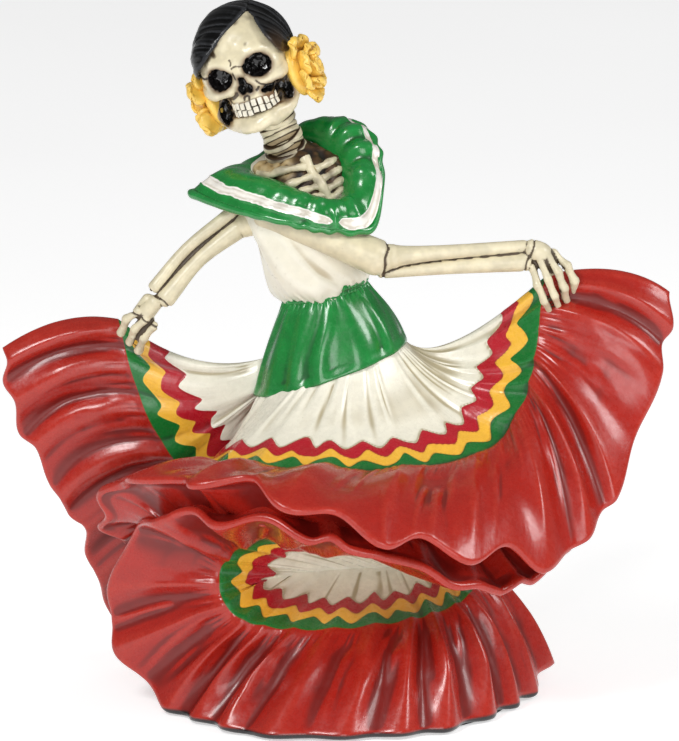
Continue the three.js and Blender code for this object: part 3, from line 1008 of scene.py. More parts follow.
def fold_wave(phase: Array, sharp: float) -> Array:
    """A row of cloth folds: phase is a whole number on each ridge, sharp is 1 for narrow ridges."""
    swing = np.abs(np.sin(math.pi * phase))
    return mix(1 - 2 * swing**2, 1 - 2 * swing**1.15, sharp)


# The skirt

HIP = (89.8, -2.3, 0.0, 19.8, 15.9, 0.36)
WAIST = (111.4, -3.7, 0.0, 10.6, 8.8, 0.23)


def hip_at(angle: Array) -> Array:
    """The ring just inside the yoke's lower edge, where the skirt hangs; 270 degrees is the front."""
    height, x, y, half_x, half_y, lean = HIP
    return ellipse((height + 1.6, x, y, half_x - 2.4, half_y - 2.4, lean), np.asarray(angle) / 360)


def steady(*vector: float) -> Path:
    """A vector that is the same all along."""
    return lambda along: np.broadcast_to(np.array(vector, float), (*np.shape(along), 3))


@dataclass
class Sweep:
    """One sweep of the skirt: a cream cloth with painted zigzag bands, and a red ruffle gathered on at a seam.

    inner, seam and hem are lines, sag and arch bow the cloth between them, and filling thickens it towards the body.
    along and out are shares: out is 0 inside and 1 at the hem.
    """

    name: str
    inner: Path
    seam: Path
    hem: Path
    sag: Path
    arch: Path
    filling: Callable[[Array, Array], Array]
    folds: Stations  # ridges and valleys in turn: share along the hem, and how far it hangs there
    swirl: float
    seed: int
    turned_over: Callable[[Array], Array] = np.zeros_like  # 1 where the hem is turned over, and its waves with it
    band_width: Path = steady(1.0)
    tooth: float = 10.5  # length of one zigzag
    depth: float = 1.9  # of the main folds
    thickness: float = 2.4  # of the cast cloth along a hem
    lift: float = 0.7  # how far the hem stays off the ground
    hang_towards: float = 0.35  # how much of the hang's way lies towards the front or the back
    crease_every: float = 3.6  # length of hem for each small crease of the ruffle
    dent_every: float = 9.0  # and for each soft crease of the banded cloth
    gather_every: float = 3.7  # along the seam
    gather_depth: float = 0.12
    seam_step: float = 0.4  # how far the ruffle stands off the banded cloth
    band_step: float = 0.22  # how far the bands stand off it
    groove: float = 0.12  # depth of the scored lines between the bands
    columns: int = 430
    # Each band's reach from the seam, its swing, its shift and its lane of the grain
    ZIGZAGS = ((3.5, 1.7, 0.0, 0.3), (7.2, 1.5, 0.06, 5.3), (11.4, 1.7, 0.1, 9.7))
    ROUNDING = 1.35  # of the zigzags' teeth, as the angle of a sine

    def drawn(self, along: Array, out: Array) -> Array:
        """The middle of the cloth before it is folded.

        Args:
            along: shares along the hem.
            out: shares from the body.

        Returns:
            The places.
        """
        sewn = self.seam(along)
        part = np.clip(out / SEAM_SHARE, 0, 1)[..., None]
        inside = mix(self.inner(along), sewn, part) + self.sag(along) * 4 * part * (1 - part)
        part = np.clip((out - SEAM_SHARE) / (1 - SEAM_SHARE), 0, 1)
        slant = self.swirl * part * np.sin(math.pi * along)
        part = part[..., None]
        outside = mix(sewn, self.hem(along + slant), part) + self.arch(along) * 4 * part * (1 - part)
        return np.where((out < SEAM_SHARE)[..., None], inside, outside)

    def stations(self) -> tuple[Array, Array]:
        """The shares of the grid's columns and rows, closer at the rims and on the bands.

        Returns:
            The columns' shares and the rows' shares.
        """
        rim = np.array([0, 0.0005, 0.0015, 0.003, 0.005])
        along = np.concatenate([rim, np.linspace(0.007, 0.993, self.columns), 1 - rim[::-1]])
        edge = 1 - np.array([0.05, 0.036, 0.025, 0.016, 0.009, 0.004, 0.001, 0])
        out = np.concatenate(
            [
                [0, 0.004, 0.012],
                np.linspace(0.03, 0.25, 13),
                np.linspace(0.26, SEAM_SHARE, 30),
                np.linspace(SEAM_SHARE + 0.006, 0.94, 34),
                edge,
            ]
        )
        return along, out

    def main_folds(self, along: Array, sharp: Array) -> tuple[Array, Array]:
        """Reads the listed ridges and valleys.

        Args:
            along: shares along the hem.
            sharp: 1 for narrow ridges between broad valleys, 0 for even waves.

        Returns:
            The folds' height, -1 to 1, and how far the hem hangs past its line, in millimetres.
        """
        shares, hangs = (np.array(column) for column in zip(*self.folds, strict=True))
        phase = np.interp(along, shares, np.arange(len(shares)))
        index = np.minimum(phase.astype(int), len(shares) - 2)
        rise = (1 - np.cos(math.pi * (phase - index))) / 2
        raised = 1 if hangs[0] > hangs[1] else -1
        fold = raised * np.where(index % 2 == 0, 1 - 2 * rise, 2 * rise - 1)
        narrow = 1 - 2 * ((1 - fold) / 2) ** 0.6
        return mix(fold, narrow, sharp), mix(hangs[index], hangs[index + 1], rise)

    def relief(self, along: Array, out: Array, length: float) -> tuple[Array, Array]:
        """The folds' height over the drawn cloth.

        Args:
            along: shares along the hem.
            out: shares from the body.
            length: the ruffle's length along the hem, in millimetres.

        Returns:
            The height, and how far the hem hangs past its line.
        """
        rng = np.random.default_rng(self.seed)
        grain = Grain(self.seed)
        cells = np.stack([along * length / 11, out * 2.6, np.full_like(along, 0.5)], axis=-1)
        wander = grain.at(cells)
        drift = 0.0045 * wander * (1 - smooth(out, 0.7, 1))
        slant = self.swirl * np.sin(math.pi * along)
        fold, hang = self.main_folds(np.clip(along + slant + drift, 0, 1), 0.8 * (1 - smooth(out, 0.75, 1.0)))
        strong = 1 + 0.35 * grain.at(cells * np.array([0.5, 0.5, 1]) + 7)
        depths = np.interp(out, [0, 0.1, 0.3, SEAM_SHARE, 0.62, 0.78, 1], [0, 0.03, 0.12, 0.3, 0.8, 0.95, 0.55])
        height = self.depth * depths * strong * fold
        for _ in range(int(length / self.crease_every)):
            centre, lean = rng.uniform(-0.01, 1.01), rng.uniform(-0.03, 0.03)
            start = rng.choice([0.44, 0.5, 0.56, 0.66])
            end = start + rng.uniform(0.2, 0.5)
            wide = rng.uniform(0.9, 2.3) / length
            tall = rng.choice([0.75, 0.6, 0.45, -0.45]) * rng.uniform(0.5, 1.0)
            middle = centre + lean * (out - start)
            fade = smooth(out, start, start + 0.1) * (1 - smooth(out, end - 0.2, end))
            height += tall * fade * bell(along - middle, wide)
        for _ in range(int(length / self.dent_every)):
            centre, wide = rng.uniform(0, 1), rng.uniform(1.1, 3.0) / length
            end = rng.uniform(0.22, 0.46)
            tall = rng.choice([0.45, -0.55]) * rng.uniform(0.5, 1.0)
            fade = smooth(out, 0.0, 0.08) * (1 - smooth(out, end - 0.18, end))
            height += tall * fade * bell(along - centre, wide)
        uneven = grain.at(np.stack([along * length / 3, out * 4, np.full_like(along, 3.5)], axis=-1))
        gathers = fold_wave(along * length / self.gather_every + 1.1 * uneven, 0.4)
        at_seam = bell(out - 0.535, 0.045)
        height += self.gather_depth * (1 + 0.7 * wander) * gathers * at_seam
        height += self.seam_step * smooth(out, SEAM_SHARE - 0.004, SEAM_SHARE + 0.012)
        return height, hang * smooth(out, 0.6, 1)

    def bands(self, along: Array, inward: Array, run: Array) -> Array:
        """How far each point lies inside the green, the yellow and the red zigzag, in millimetres.

        Args:
            along: shares along the hem.
            inward: millimetres from the seam towards the body.
            run: millimetres along the seam.

        Returns:
            Three distances for each point, positive inside the band's outer line.
        """
        grain = Grain(self.seed + 7)
        cells = np.stack([run / 6, np.zeros_like(run), np.zeros_like(run)], axis=-1)
        size = self.band_width(along)[..., 0]
        lines = []
        for mean, swing, shift, lane in self.ZIGZAGS:
            waver = grain.at(cells + lane)
            phase = run / self.tooth + shift + 0.22 * waver
            saw = 2 * np.abs(2 * (phase % 1) - 1) - 1
            tooth = np.sin(self.ROUNDING * saw) / math.sin(self.ROUNDING)
            lines.append(size * (mean + 0.8 * waver) + swing * (1 + 0.4 * waver) * tooth - inward)
        return np.stack(lines, axis=-1)

    def shell(self) -> Shell:
        """Builds the folded cloth, closed round its rims.

        Returns:
            The shell, with the layers that its paints need.
        """
        shares, rows = self.stations()
        along, out = np.meshgrid(shares, rows, indexing="ij")
        middle = self.drawn(along, out)
        step = 0.01
        reach = self.drawn(along, np.minimum(1, out + step)) - self.drawn(along, np.maximum(0, out - step))
        beside = self.drawn(np.minimum(1, along + step), out) - self.drawn(np.maximum(0, along - step), out)
        facing = unit(np.cross(beside, reach))
        reach = unit(reach)
        hem_line = self.hem(shares)
        length = np.linalg.norm(np.diff(hem_line, axis=0), axis=1).sum()
        height, hang = self.relief(along, out, length)
        sewn = int(np.argmin(np.abs(rows - SEAM_SHARE)))
        pieces = np.linalg.norm(np.diff(middle, axis=1), axis=-1)
        walked = np.concatenate([np.zeros((len(shares), 1)), np.cumsum(pieces, axis=1)], axis=1)
        inward = walked[:, sewn : sewn + 1] - walked
        seam_steps = np.linalg.norm(np.diff(middle[:, sewn], axis=0), axis=-1)
        run = np.broadcast_to(np.concatenate([[0], np.cumsum(seam_steps)])[:, None], along.shape)
        edges = self.bands(along, inward, run)
        on_cloth = smooth(inward, -0.2, 0.1)
        raised = self.band_step * smooth(edges[..., 2], -0.25, 0.25)
        grooves = sum(bell(edges[..., k], 0.32) for k in range(3))
        height += on_cloth * (raised - self.groove * grooves)
        to_hem = walked[:, -1:] - walked
        across = np.linalg.norm(beside, axis=-1) / (2 * step)
        to_end = np.minimum(along, 1 - along) * across
        rim = np.minimum(np.minimum(to_hem, to_end), walked)
        half = rounded(rim, self.thickness / 2)
        filled = self.filling(along, out) * np.minimum(rim / 4, 1)
        over = self.turned_over(along)[..., None]
        down = unit(mix(reach * np.array([1, self.hang_towards, 1]), facing, over))
        folded = middle + facing * height[..., None] + down * hang[..., None]
        outer = folded + facing * half[..., None]
        inner = folded - facing * (half + filled)[..., None]
        for side in (outer, inner):
            side[..., 2] = np.maximum(side[..., 2], self.lift)
        inner[:, [0, -1]], inner[[0, -1]] = outer[:, [0, -1]], outer[[0, -1]]
        layers = {"bands": edges, "inward": inward, "Flow": np.stack([run, walked], axis=-1)}
        return pillow(outer, inner, layers).wash_and_shade_layers(0.07, 1.3, 60)


@dataclass
class Skirt:
    """The raised front sweep, the back sweep, the low turned-out sweep, and the mass that they stand on."""

    core_rows: int = 60
    core_sides: int = 120
    hollow_right: Spot = (37.0, 4, 36)
    hollow_left: Spot = (-16.0, -9, 36)

    FRONT_SEAM = Line(
        [
            [55, -4, 116], [53, -9, 101.5], [51.5, -13, 92], [48, -18, 82], [39.5, -25, 72.5], [24, -32, 70],
            [8, -36, 69.5], [-7.5, -36, 70], [-22.5, -32, 69.5], [-34, -23, 67], [-35, -14, 61], [-31, -6, 53],
        ]
    )  # fmt: skip
    FRONT_HEM = Line(
        [
            [88, -5, 111], [80, -17, 78], [67, -31, 55], [52, -46, 47.5], [33.5, -60, 51], [15, -65, 58],
            [-4.5, -64, 65], [-23.5, -59, 69], [-42, -47, 68.5], [-60, -24, 63], [-63, -14, 50], [-56, -8, 43],
        ]
    )  # fmt: skip
    BACK_SEAM = Line(
        [
            [-58.5, 4, 102], [-55, 3, 88], [-49.5, 3, 73.5], [-41, 5, 59.5], [-36, 9, 48], [-35, 16, 40],
            [-31, 24, 35], [-18, 32, 32], [0, 35.5, 31], [18, 32, 32], [32, 22, 33], [39, 6, 33],
        ]
    )  # fmt: skip
    BACK_HEM = Line(
        [
            [-88, 2, 95], [-86.5, 3, 79], [-80, 5, 65], [-72, 8, 48.5], [-67, 13, 36], [-62, 20, 20],
            [-54, 30, 3], [-32, 40, 1], [0, 44.2, 1], [30, 40, 1], [50, 27, 2], [55, 14, 4],
        ]
    )  # fmt: skip
    LOW_SEAM = Line(
        [
            [37, 8, 33], [36, -4, 31], [31, -14, 28], [20, -22, 26], [3, -26, 24.5], [-12, -27, 24.5],
            [-24, -26, 26.5], [-30, -24, 31], [-32, -22, 38], [-29, -23, 45], [-20, -25, 50], [-7.5, -27, 51],
            [10, -26, 49], [27, -20, 45], [42, -12, 50],
        ]
    )  # fmt: skip
    LOW_HEM = Line(
        [
            [56, 12, 6], [50, -4, 1.5], [43, -19, 1], [27, -40, 1], [1.5, -47.5, 1], [-21, -45, 1], [-34, -33, 1],
            [-46, -18, 2], [-59, -8, 18], [-58, -13, 40], [-47, -33, 60], [-26, -51, 61.5], [1.5, -60, 55],
            [29.5, -55.5, 46], [43, -46.5, 40.5], [54, -37, 43.5], [61, -30, 49],
        ]
    )  # fmt: skip
    FRONT_FOLDS = (
        (0, -0.8), (0.02, 1.9), (0.034, 0.3), (0.05, 1.6), (0.103, -0.8), (0.15, 1.6), (0.168, 0.2), (0.198, 1.5),
        (0.222, 0.8), (0.268, 2.8), (0.314, -5.8), (0.366, 0.6), (0.42, -4), (0.474, 3.5), (0.53, -2), (0.583, 2.8),
        (0.658, -5.8), (0.703, 1.4), (0.735, -3.2), (0.776, 1.2), (0.812, -1.6), (0.849, 1.2), (0.888, -1.6),
        (0.925, 1.2), (0.962, -1.2), (1, 0.5),
    )  # fmt: skip
    BACK_FOLDS = (
        (0, 1.3), (0.021, 0.4), (0.048, 2.1), (0.09, -0.6), (0.138, 2.2), (0.173, -0.2), (0.225, 1.7), (0.25, 0.6),
        (0.274, 0.9), (0.321, -2), (0.369, 1.5), (0.414, 0), (0.455, 1.2), (0.51, -1), (0.57, 1.2), (0.63, -1),
        (0.69, 1.2), (0.75, -1), (0.81, 1.2), (0.875, -1), (0.94, 1.2), (1, -1),
    )  # fmt: skip
    LOW_FOLDS = (
        (0, 0.8), (0.03, -0.5), (0.06, 1.2), (0.085, -0.4), (0.11, 1), (0.128, -0.2), (0.146, 1), (0.166, -0.3),
        (0.186, 1), (0.2, -0.2), (0.215, 0.8), (0.232, -0.2), (0.25, 1), (0.275, -0.3), (0.3, 1.2), (0.325, -0.2),
        (0.349, 1), (0.37, -0.2), (0.39, 0.8), (0.41, -0.2), (0.43, 0.8), (0.46, -0.5), (0.49, 1.5), (0.515, 0.5),
        (0.545, 1.5), (0.59, -0.5), (0.625, 2.5), (0.655, 1.8), (0.673, 1.7), (0.705, -1.2), (0.73, -0.9),
        (0.742, -1.4), (0.754, -1.9), (0.79, -0.6), (0.817, 0.2), (0.845, 0), (0.873, -1), (0.901, -0.5),
        (0.92, -0.5), (0.96, 0.5), (1, -0.7),
    )  # fmt: skip
    CORE = (
        (0, 1, -1, 45, 42), (6, 1, 0, 43, 39), (15, 1, 3, 36, 33), (24, 0, 8, 30, 26), (31, 0, 15, 27, 17),
        (43, 0, 14, 25, 17), (52, 0, 2, 25, 26), (62, 0, -4, 22, 27), (76, -1, -1, 19, 17), (94, -2, 0, 13, 10),
    )  # fmt: skip
    cloth = Finish("banded_cloth", gloss=0.28, wash=0.72, cloud=0.1, strokes=True, shine=0.45, mottle=0.4)
    base = Finish("painted_base", gloss=0.5, coat=0.0)

    def cloth_zones(self, recipe: Recipe) -> list[Zone]:
        """Cream cloth, then the red, yellow and green zigzags, then the red ruffle and its black foot.

        Args:
            recipe: the material's nodes.

        Returns:
            The zones, the ground first.
        """
        parts = recipe.node("SeparateXYZ", {"Vector": recipe.layer("bands", "Vector")}).outputs
        red, yellow, green = (recipe.between(parts[k], -0.07, 0.07) for k in (2, 1, 0))
        ruffle = recipe.between(recipe.layer("inward"), 0.05, -0.1)
        return [
            Zone(CREAM_CLOTH), Zone(TRIM_RED, red), Zone(TRIM_YELLOW, yellow), Zone(TRIM_GREEN, green),
            Zone(RUFFLE_RED, ruffle), Zone(BASE_BLACK, recipe.between(recipe.height(), 0.0026, 0.0017)),
        ]  # fmt: skip

    def base_zones(self, recipe: Recipe) -> list[Zone]:
        """Red, with a black foot."""
        return [Zone(RUFFLE_RED), Zone(BASE_BLACK, recipe.between(recipe.height(), 0.009, 0.007))]

    def front(self) -> Sweep:
        """The front of the skirt, from the raised hand round the front to a curl on the other side.

        Returns:
            The sweep.
        """
        return Sweep(
            "front_skirt",
            inner=lambda along: hip_at(190 + 178 * (1 - along**1.5)),
            seam=self.FRONT_SEAM,
            hem=self.FRONT_HEM,
            sag=lambda along: np.array([-1, 1.5, -2.0]) + np.array([-4, 0, -8.0]) * (1 - along)[..., None] ** 4,
            arch=lambda along: np.stack(
                [2 * (1 - smooth(along, 0.2, 0.5)), -np.ones_like(along), 4 - 2.5 * along], axis=-1
            ),
            filling=lambda along, out: (
                12 * (smooth(along, 0.25, 0.45) * (1 - smooth(along, 0.85, 1))) * (1 - smooth(out, 0.7, 1))
            ),
            folds=self.FRONT_FOLDS,
            swirl=-0.02,
            seed=11,
            band_width=Line([[1.35], [1.4], [1.2], [0.9], [0.85], [0.9], [0.95]]),
            tooth=10.8,
        )

    def back(self) -> Sweep:
        """The back of the skirt, from the lowered hand down the side and round behind.

        Returns:
            The sweep.
        """
        return Sweep(
            "back_skirt",
            inner=lambda along: (
                hip_at(178 - 200 * along**2.2) + np.array([0, 3, 6.5]) * (1 - smooth(along, 0, 0.15))[..., None]
            ),
            seam=self.BACK_SEAM,
            hem=self.BACK_HEM,
            sag=lambda along: np.stack([0 * along, 0 * along, -1 - 4.5 * (1 - smooth(along, 0, 0.3))], axis=-1),
            arch=lambda along: (
                np.stack([-2 * smooth(along, 0, 0.15), 0 * along, 3 + 0 * along], axis=-1)
                * (1 - 0.5 * smooth(along, 0.2, 0.4))[..., None]
            ),
            filling=lambda along, out: 6 * smooth(along, 0.3, 0.45) * (1 - smooth(out, 0.5, 0.85)),
            folds=self.BACK_FOLDS,
            swirl=0.03,
            seed=23,
            band_width=Line([[1.3], [1.35], [1.2], [1.0], [1.0]]),
            columns=300,
        )

    def hollow(self, along: Array) -> Array:
        """The deepest line of the scroll's hollow, there and back."""
        share = (1 - np.abs(1 - 2 * along))[..., None]
        return mix(np.array(self.hollow_right), np.array(self.hollow_left), share)

    def low(self) -> Sweep:
        """The low sweep: along the floor in front, up the side and over as a second hem.

        Returns:
            The sweep.
        """
        return Sweep(
            "low_skirt",
            inner=self.hollow,
            seam=self.LOW_SEAM,
            hem=self.LOW_HEM,
            sag=steady(0, 2, 0),
            arch=lambda along: np.array([1.5, 0, 2.0]) * (1 - smooth(along, 0.15, 0.4))[..., None],
            filling=lambda along, out: mix(
                6 * (1 - smooth(out, 0.3, 0.8)), 9 * (1 - smooth(out, 0.75, 1)), smooth(along, 0.58, 0.64)
            ),
            folds=self.LOW_FOLDS,
            swirl=-0.01,
            seed=37,
            turned_over=lambda along: smooth(along, 0.56, 0.62),
            band_width=Line([[0.95], [1.05], [1.1], [1.35], [1.35], [1.0], [0.9]]),
            tooth=8.4,
            columns=440,
        )

    def core(self) -> Shell:
        """The mass inside the skirt, with the flat foot that it stands on.

        Returns:
            The shell.
        """
        turns = np.linspace(0, 1, self.core_sides, endpoint=False)
        rows = Line(self.CORE)(np.linspace(0, 1, self.core_rows))
        return stack(np.stack([ellipse(row, turns) for row in rows])).wash_and_shade_layers()

    def build(self) -> None:
        """Makes the skirt's pieces."""
        cloth = self.cloth.material(self.cloth_zones)
        for sweep in (self.front(), self.back(), self.low()):
            add_piece(sweep.name, sweep.shell(), cloth)
        add_piece("skirt_core", self.core(), self.base.material(self.base_zones))


# The waist, the blouse and the chest


@dataclass
class Yoke:
    """The green hip yoke, pleated from a gathered waistband, and the cream blouse tucked into it."""

    pleats: int = 12
    pleat_depth: float = 0.55
    sides: int = 360
    rows: int = 48
    lip: float = 0.5  # how far the yoke's lower edge stands off the cream cloth
    tucks: int = 46  # small gathers under the waistband
    puckers: int = 44  # of the waistband
    pucker_depth: float = 0.32
    band_rows: int = 18
    band_height: float = 3.6
    band_waist: float = 0.45  # where the waistband is drawn in, as a share of its height
    blouse_sides: int = 260
    blouse_rows: int = 60
    BLOUSE = (
        (109.5, -4, 0, 10, 8.4, 0.23), (113, -5.4, -0.4, 12.8, 10.4, 0.18), (118, -7.6, -1, 12.8, 10.6, 0.1),
        (124, -9.6, -1.5, 12.4, 10.6, 0.05), (131, -11, -1.5, 14.2, 10.4, 0), (138, -11.2, -0.4, 15.2, 9.8, 0),
        (143.5, -11.2, 3, 12.2, 7.6, 0), (148, -11.4, 5.4, 5.8, 4.6, 0),
    )  # fmt: skip
    green = Finish("yoke_green", gloss=0.26, coat=0.45, wash=0.7)
    cream = Finish("blouse_cream", gloss=0.32, wash=0.6, cloud=0.08, coat=0.2, speck=0.1, mottle=0.3)

    def yoke(self) -> Shell:
        """The pleated cone, with a rounded lower edge.

        Returns:
            The shell.
        """
        turns = np.linspace(0, 1, self.sides, endpoint=False)
        angle, out = turns * TURN, ways_around(turns)
        down = np.concatenate([np.linspace(0, 1, self.rows), [1.0, 1.0, 0.99, 0.97]])
        inset = np.concatenate([np.zeros(self.rows), [0.5, 1.4, 2.4, 3.6]])
        grain = Grain(5)
        rings = []
        for share, bend, inwards in zip(down, 1 - (1 - down) ** 1.4, inset, strict=True):
            row = [mix(a, b, share if k == 0 else bend) for k, (a, b) in enumerate(zip(WAIST, HIP, strict=True))]
            wander = grain.at(cells_around(angle, 3, 1.3 * share))
            pleat = fold_wave(self.pleats * turns + 0.5 * wander, 0.15)
            tucks = fold_wave(self.tucks * turns + wander, 0.4) * math.exp(-((share / 0.1) ** 2))
            deep = self.pleat_depth * (0.25 + 0.75 * share) * (1 - 0.6 * smooth(share, 0.85, 1))
            swell = deep * pleat * (1 + 0.3 * wander) + 0.3 * tucks
            swell = swell + self.lip * smooth(share, 0.86, 1.0) - inwards
            rings.append(ellipse(row, turns) + out * swell[:, None])
        return stack(np.stack(rings)).wash_and_shade_layers(0.04, 0.45, 40)

    def waistband(self) -> Shell:
        """The gathered band, with its ruffled heading.

        Returns:
            The shell.
        """
        turns = np.linspace(0, 1, self.sides, endpoint=False)
        height, x, y, half_x, half_y, lean = WAIST
        wander = Grain(9).at(cells_around(turns * TURN, 6, 0))
        puckers = fold_wave(self.puckers * turns + 1.2 * wander, 0.5)
        rings = []
        for share in np.linspace(0, 1, self.band_rows):
            off_waist = share - self.band_waist
            bulge = math.sin(math.pi * share) ** 0.6 - 0.35 * math.exp(-((off_waist / 0.12) ** 2))
            bulge = bulge + self.pucker_depth * puckers * (0.4 + 0.6 * abs(off_waist) / 0.55)
            ring = ellipse((height - 1.9 + self.band_height * share, x, y, half_x, half_y, lean), turns)
            ring = ring + ways_around(turns) * bulge[:, None]
            ring[:, 2] += 0.45 * puckers * smooth(share, 0.6, 1)
            rings.append(ring)
        return stack(np.stack(rings)).wash_and_shade_layers(0.04, 0.4, 20)

    def blouse(self) -> Shell:
        """The blouse, puffed at the waist and creased where the body turns.

        Returns:
            The shell.
        """
        turns = np.linspace(0, 1, self.blouse_sides, endpoint=False)
        shares = np.linspace(0, 1, self.blouse_rows)
        grain = Grain(15)
        rings = []
        for share, row in zip(shares, Line(self.BLOUSE)(shares), strict=True):
            cells = cells_around(turns * TURN + 1.9 * share, 2.1, 0.6 * share)
            creases = grain.at(cells)
            fine = grain.at(cells * np.array([2.3, 2.3, 1.0]) + 4)
            swell = 1.5 * creases * (1 - 0.6 * share) + 0.25 * fine
            tucks = 0.35 * fold_wave(22 * turns + creases, 0.3) * math.exp(-((share / 0.12) ** 2))
            rings.append(ellipse(row, turns) + ways_around(turns) * (swell + tucks)[:, None])
        return stack(np.stack(rings)).wash_and_shade_layers(0.04, 0.6, 50)

    def build(self) -> None:
        """Makes the yoke, the waistband and the blouse."""
        green = self.green.material(all_over(YOKE_GREEN))
        add_piece("hip_yoke", self.yoke(), green)
        add_piece("waistband", self.waistband(), green)
        add_piece("blouse", self.blouse(), self.cream.material(all_over(BLOUSE_CREAM)))


@dataclass
class Collar:
    """The green ruffle off the shoulders, with a white stripe near its edge."""

    folds: int = 17
    fold_depth: float = 0.85
    thickness: float = 2.2
    rise: float = 3.6  # how far the ruffle bows up between its rims
    sides: int = 420
    rows: int = 44
    NECKLINE = (
        (-21.5, 0, 141), (-14.5, -8.5, 140.5), (-7.5, -12, 137.8), (-1.5, -11.5, 136.2), (1.5, -7, 139),
        (-1, -0.5, 145), (-7.2, 5, 149.6), (-13, 9.5, 148), (-18.5, 7.5, 143.5),
    )  # fmt: skip
    EDGE = (
        (-40, -2, 137), (-29.5, -10.5, 134.5), (-16.5, -17, 132.5), (-2, -18.5, 130), (10, -14, 131),
        (11.5, -3, 148), (4.5, 7.5, 155), (-8, 13, 150.5), (-20, 15, 138), (-33, 8, 134.5),
    )  # fmt: skip
    RIGHT_LOBE = 2.6  # where the dents are deepest, as the angle of a turn
    LEFT_LOBE = 0.8  # where the stripe lies furthest in
    JOINT = 0.31  # where the stripe breaks between the two lobes, as a share of a turn
    finish = Finish("collar_green", gloss=0.24, coat=0.5, wash=0.7)


    def drawn(self, turn: Array, out: Array) -> Array:
        """The middle of the ruffle before it is folded.

        Args:
            turn: shares of a turn.
            out: shares from the neckline.

        Returns:
            The places.
        """
        neckline, edge = Line(self.NECKLINE, closed=True), Line(self.EDGE, closed=True)
        rise = self.rise * np.sin(math.pi * np.minimum(1, out * 1.15))
        return mix(neckline(turn), edge(turn), out[..., None]) + np.stack([0 * rise, -0.35 * rise, rise], axis=-1)

    def shell(self) -> Shell:
        """Builds the ruffle, closed round its rims.

        Returns:
            The shell, with the stripe's layer.
        """
        turns = np.linspace(0, 1, self.sides, endpoint=False)
        rim = np.array([0, 0.004, 0.012, 0.025, 0.045])
        rows = np.concatenate([rim, np.linspace(0.07, 0.93, self.rows), 1 - rim[::-1]])
        turn, out = np.meshgrid(turns, rows, indexing="ij")
        step = 0.01
        middle = self.drawn(turn, out)
        beside = self.drawn(turn + step, out) - self.drawn(turn - step, out)
        reach = self.drawn(turn, np.minimum(1, out + step)) - self.drawn(turn, np.maximum(0, out - step))
        facing = unit(np.cross(beside, reach))
        grain = Grain(31)
        angle = turn * TURN
        cells = cells_around(angle, 4, 1.5 * out)
        wander = grain.at(cells * 0.4)
        dents = fold_wave(self.folds * turn + 0.8 * wander, 0.2) * (0.7 + 0.3 * grain.at(cells * 0.7 + 3))
        crimp = fold_wave(1.3 * self.folds * turn + 1.2 * wander, 0.0) * (0.6 + 0.4 * grain.at(cells * 0.9 + 5))
        front = 0.22 + 0.78 * smooth(np.cos(angle - self.RIGHT_LOBE), 0.05, 0.8)
        crimp = crimp * front
        joint = np.abs((turn - self.JOINT + 0.5) % 1 - 0.5)
        front = front * (1 - 0.8 * bell(joint, 0.06))
        height = self.fold_depth * front * dents * smooth(out, 0.08, 0.45) * (1 - 0.75 * smooth(out, 0.7, 0.95))
        height += 0.4 * crimp * smooth(out, 0.8, 1)
        wavy = 0.014 * grain.at(cells * 2.1) + 0.006 * grain.at(cells * 7.3 + 2)
        left = smooth(np.cos(angle - self.LEFT_LOBE), 0.2, 0.8)
        start, end = 0.69 - 0.06 * left + wavy, 0.845 - 0.085 * left + wavy + 0.012 * crimp
        stripe = np.minimum(out - start, end - out) - 0.09 * bell(joint, 0.012)
        height = height - 0.22 * bell(stripe, 0.014) + 0.12 * smooth(stripe, 0, 0.03)
        height -= 0.7 * bell(joint, 0.008) * smooth(out, 0.45, 0.7)
        width = np.linalg.norm(reach, axis=-1) / (2 * step)
        half = rounded(np.minimum(out, 1 - out) * width, self.thickness / 2)
        folded = middle + facing * height[..., None]
        folded = folded + unit(reach) * (0.4 * crimp * smooth(out, 0.85, 1))[..., None]
        outer, inner = folded + facing * half[..., None], folded - facing * half[..., None]
        inner[:, [0, -1]] = outer[:, [0, -1]]
        return pillow(outer, inner, {"stripe": stripe * width}, wrap=True).wash_and_shade_layers(0.04, 0.5, 30)

    def zones(self, recipe: Recipe) -> list[Zone]:
        """Green, with the white stripe."""
        return [Zone(YOKE_GREEN), Zone(STRIPE_WHITE, recipe.between(recipe.layer("stripe"), -0.05, 0.1))]

    def build(self) -> None:
        """Makes the collar."""
        add_piece("collar_ruffle", self.shell(), self.finish.material(self.zones))


# Bones


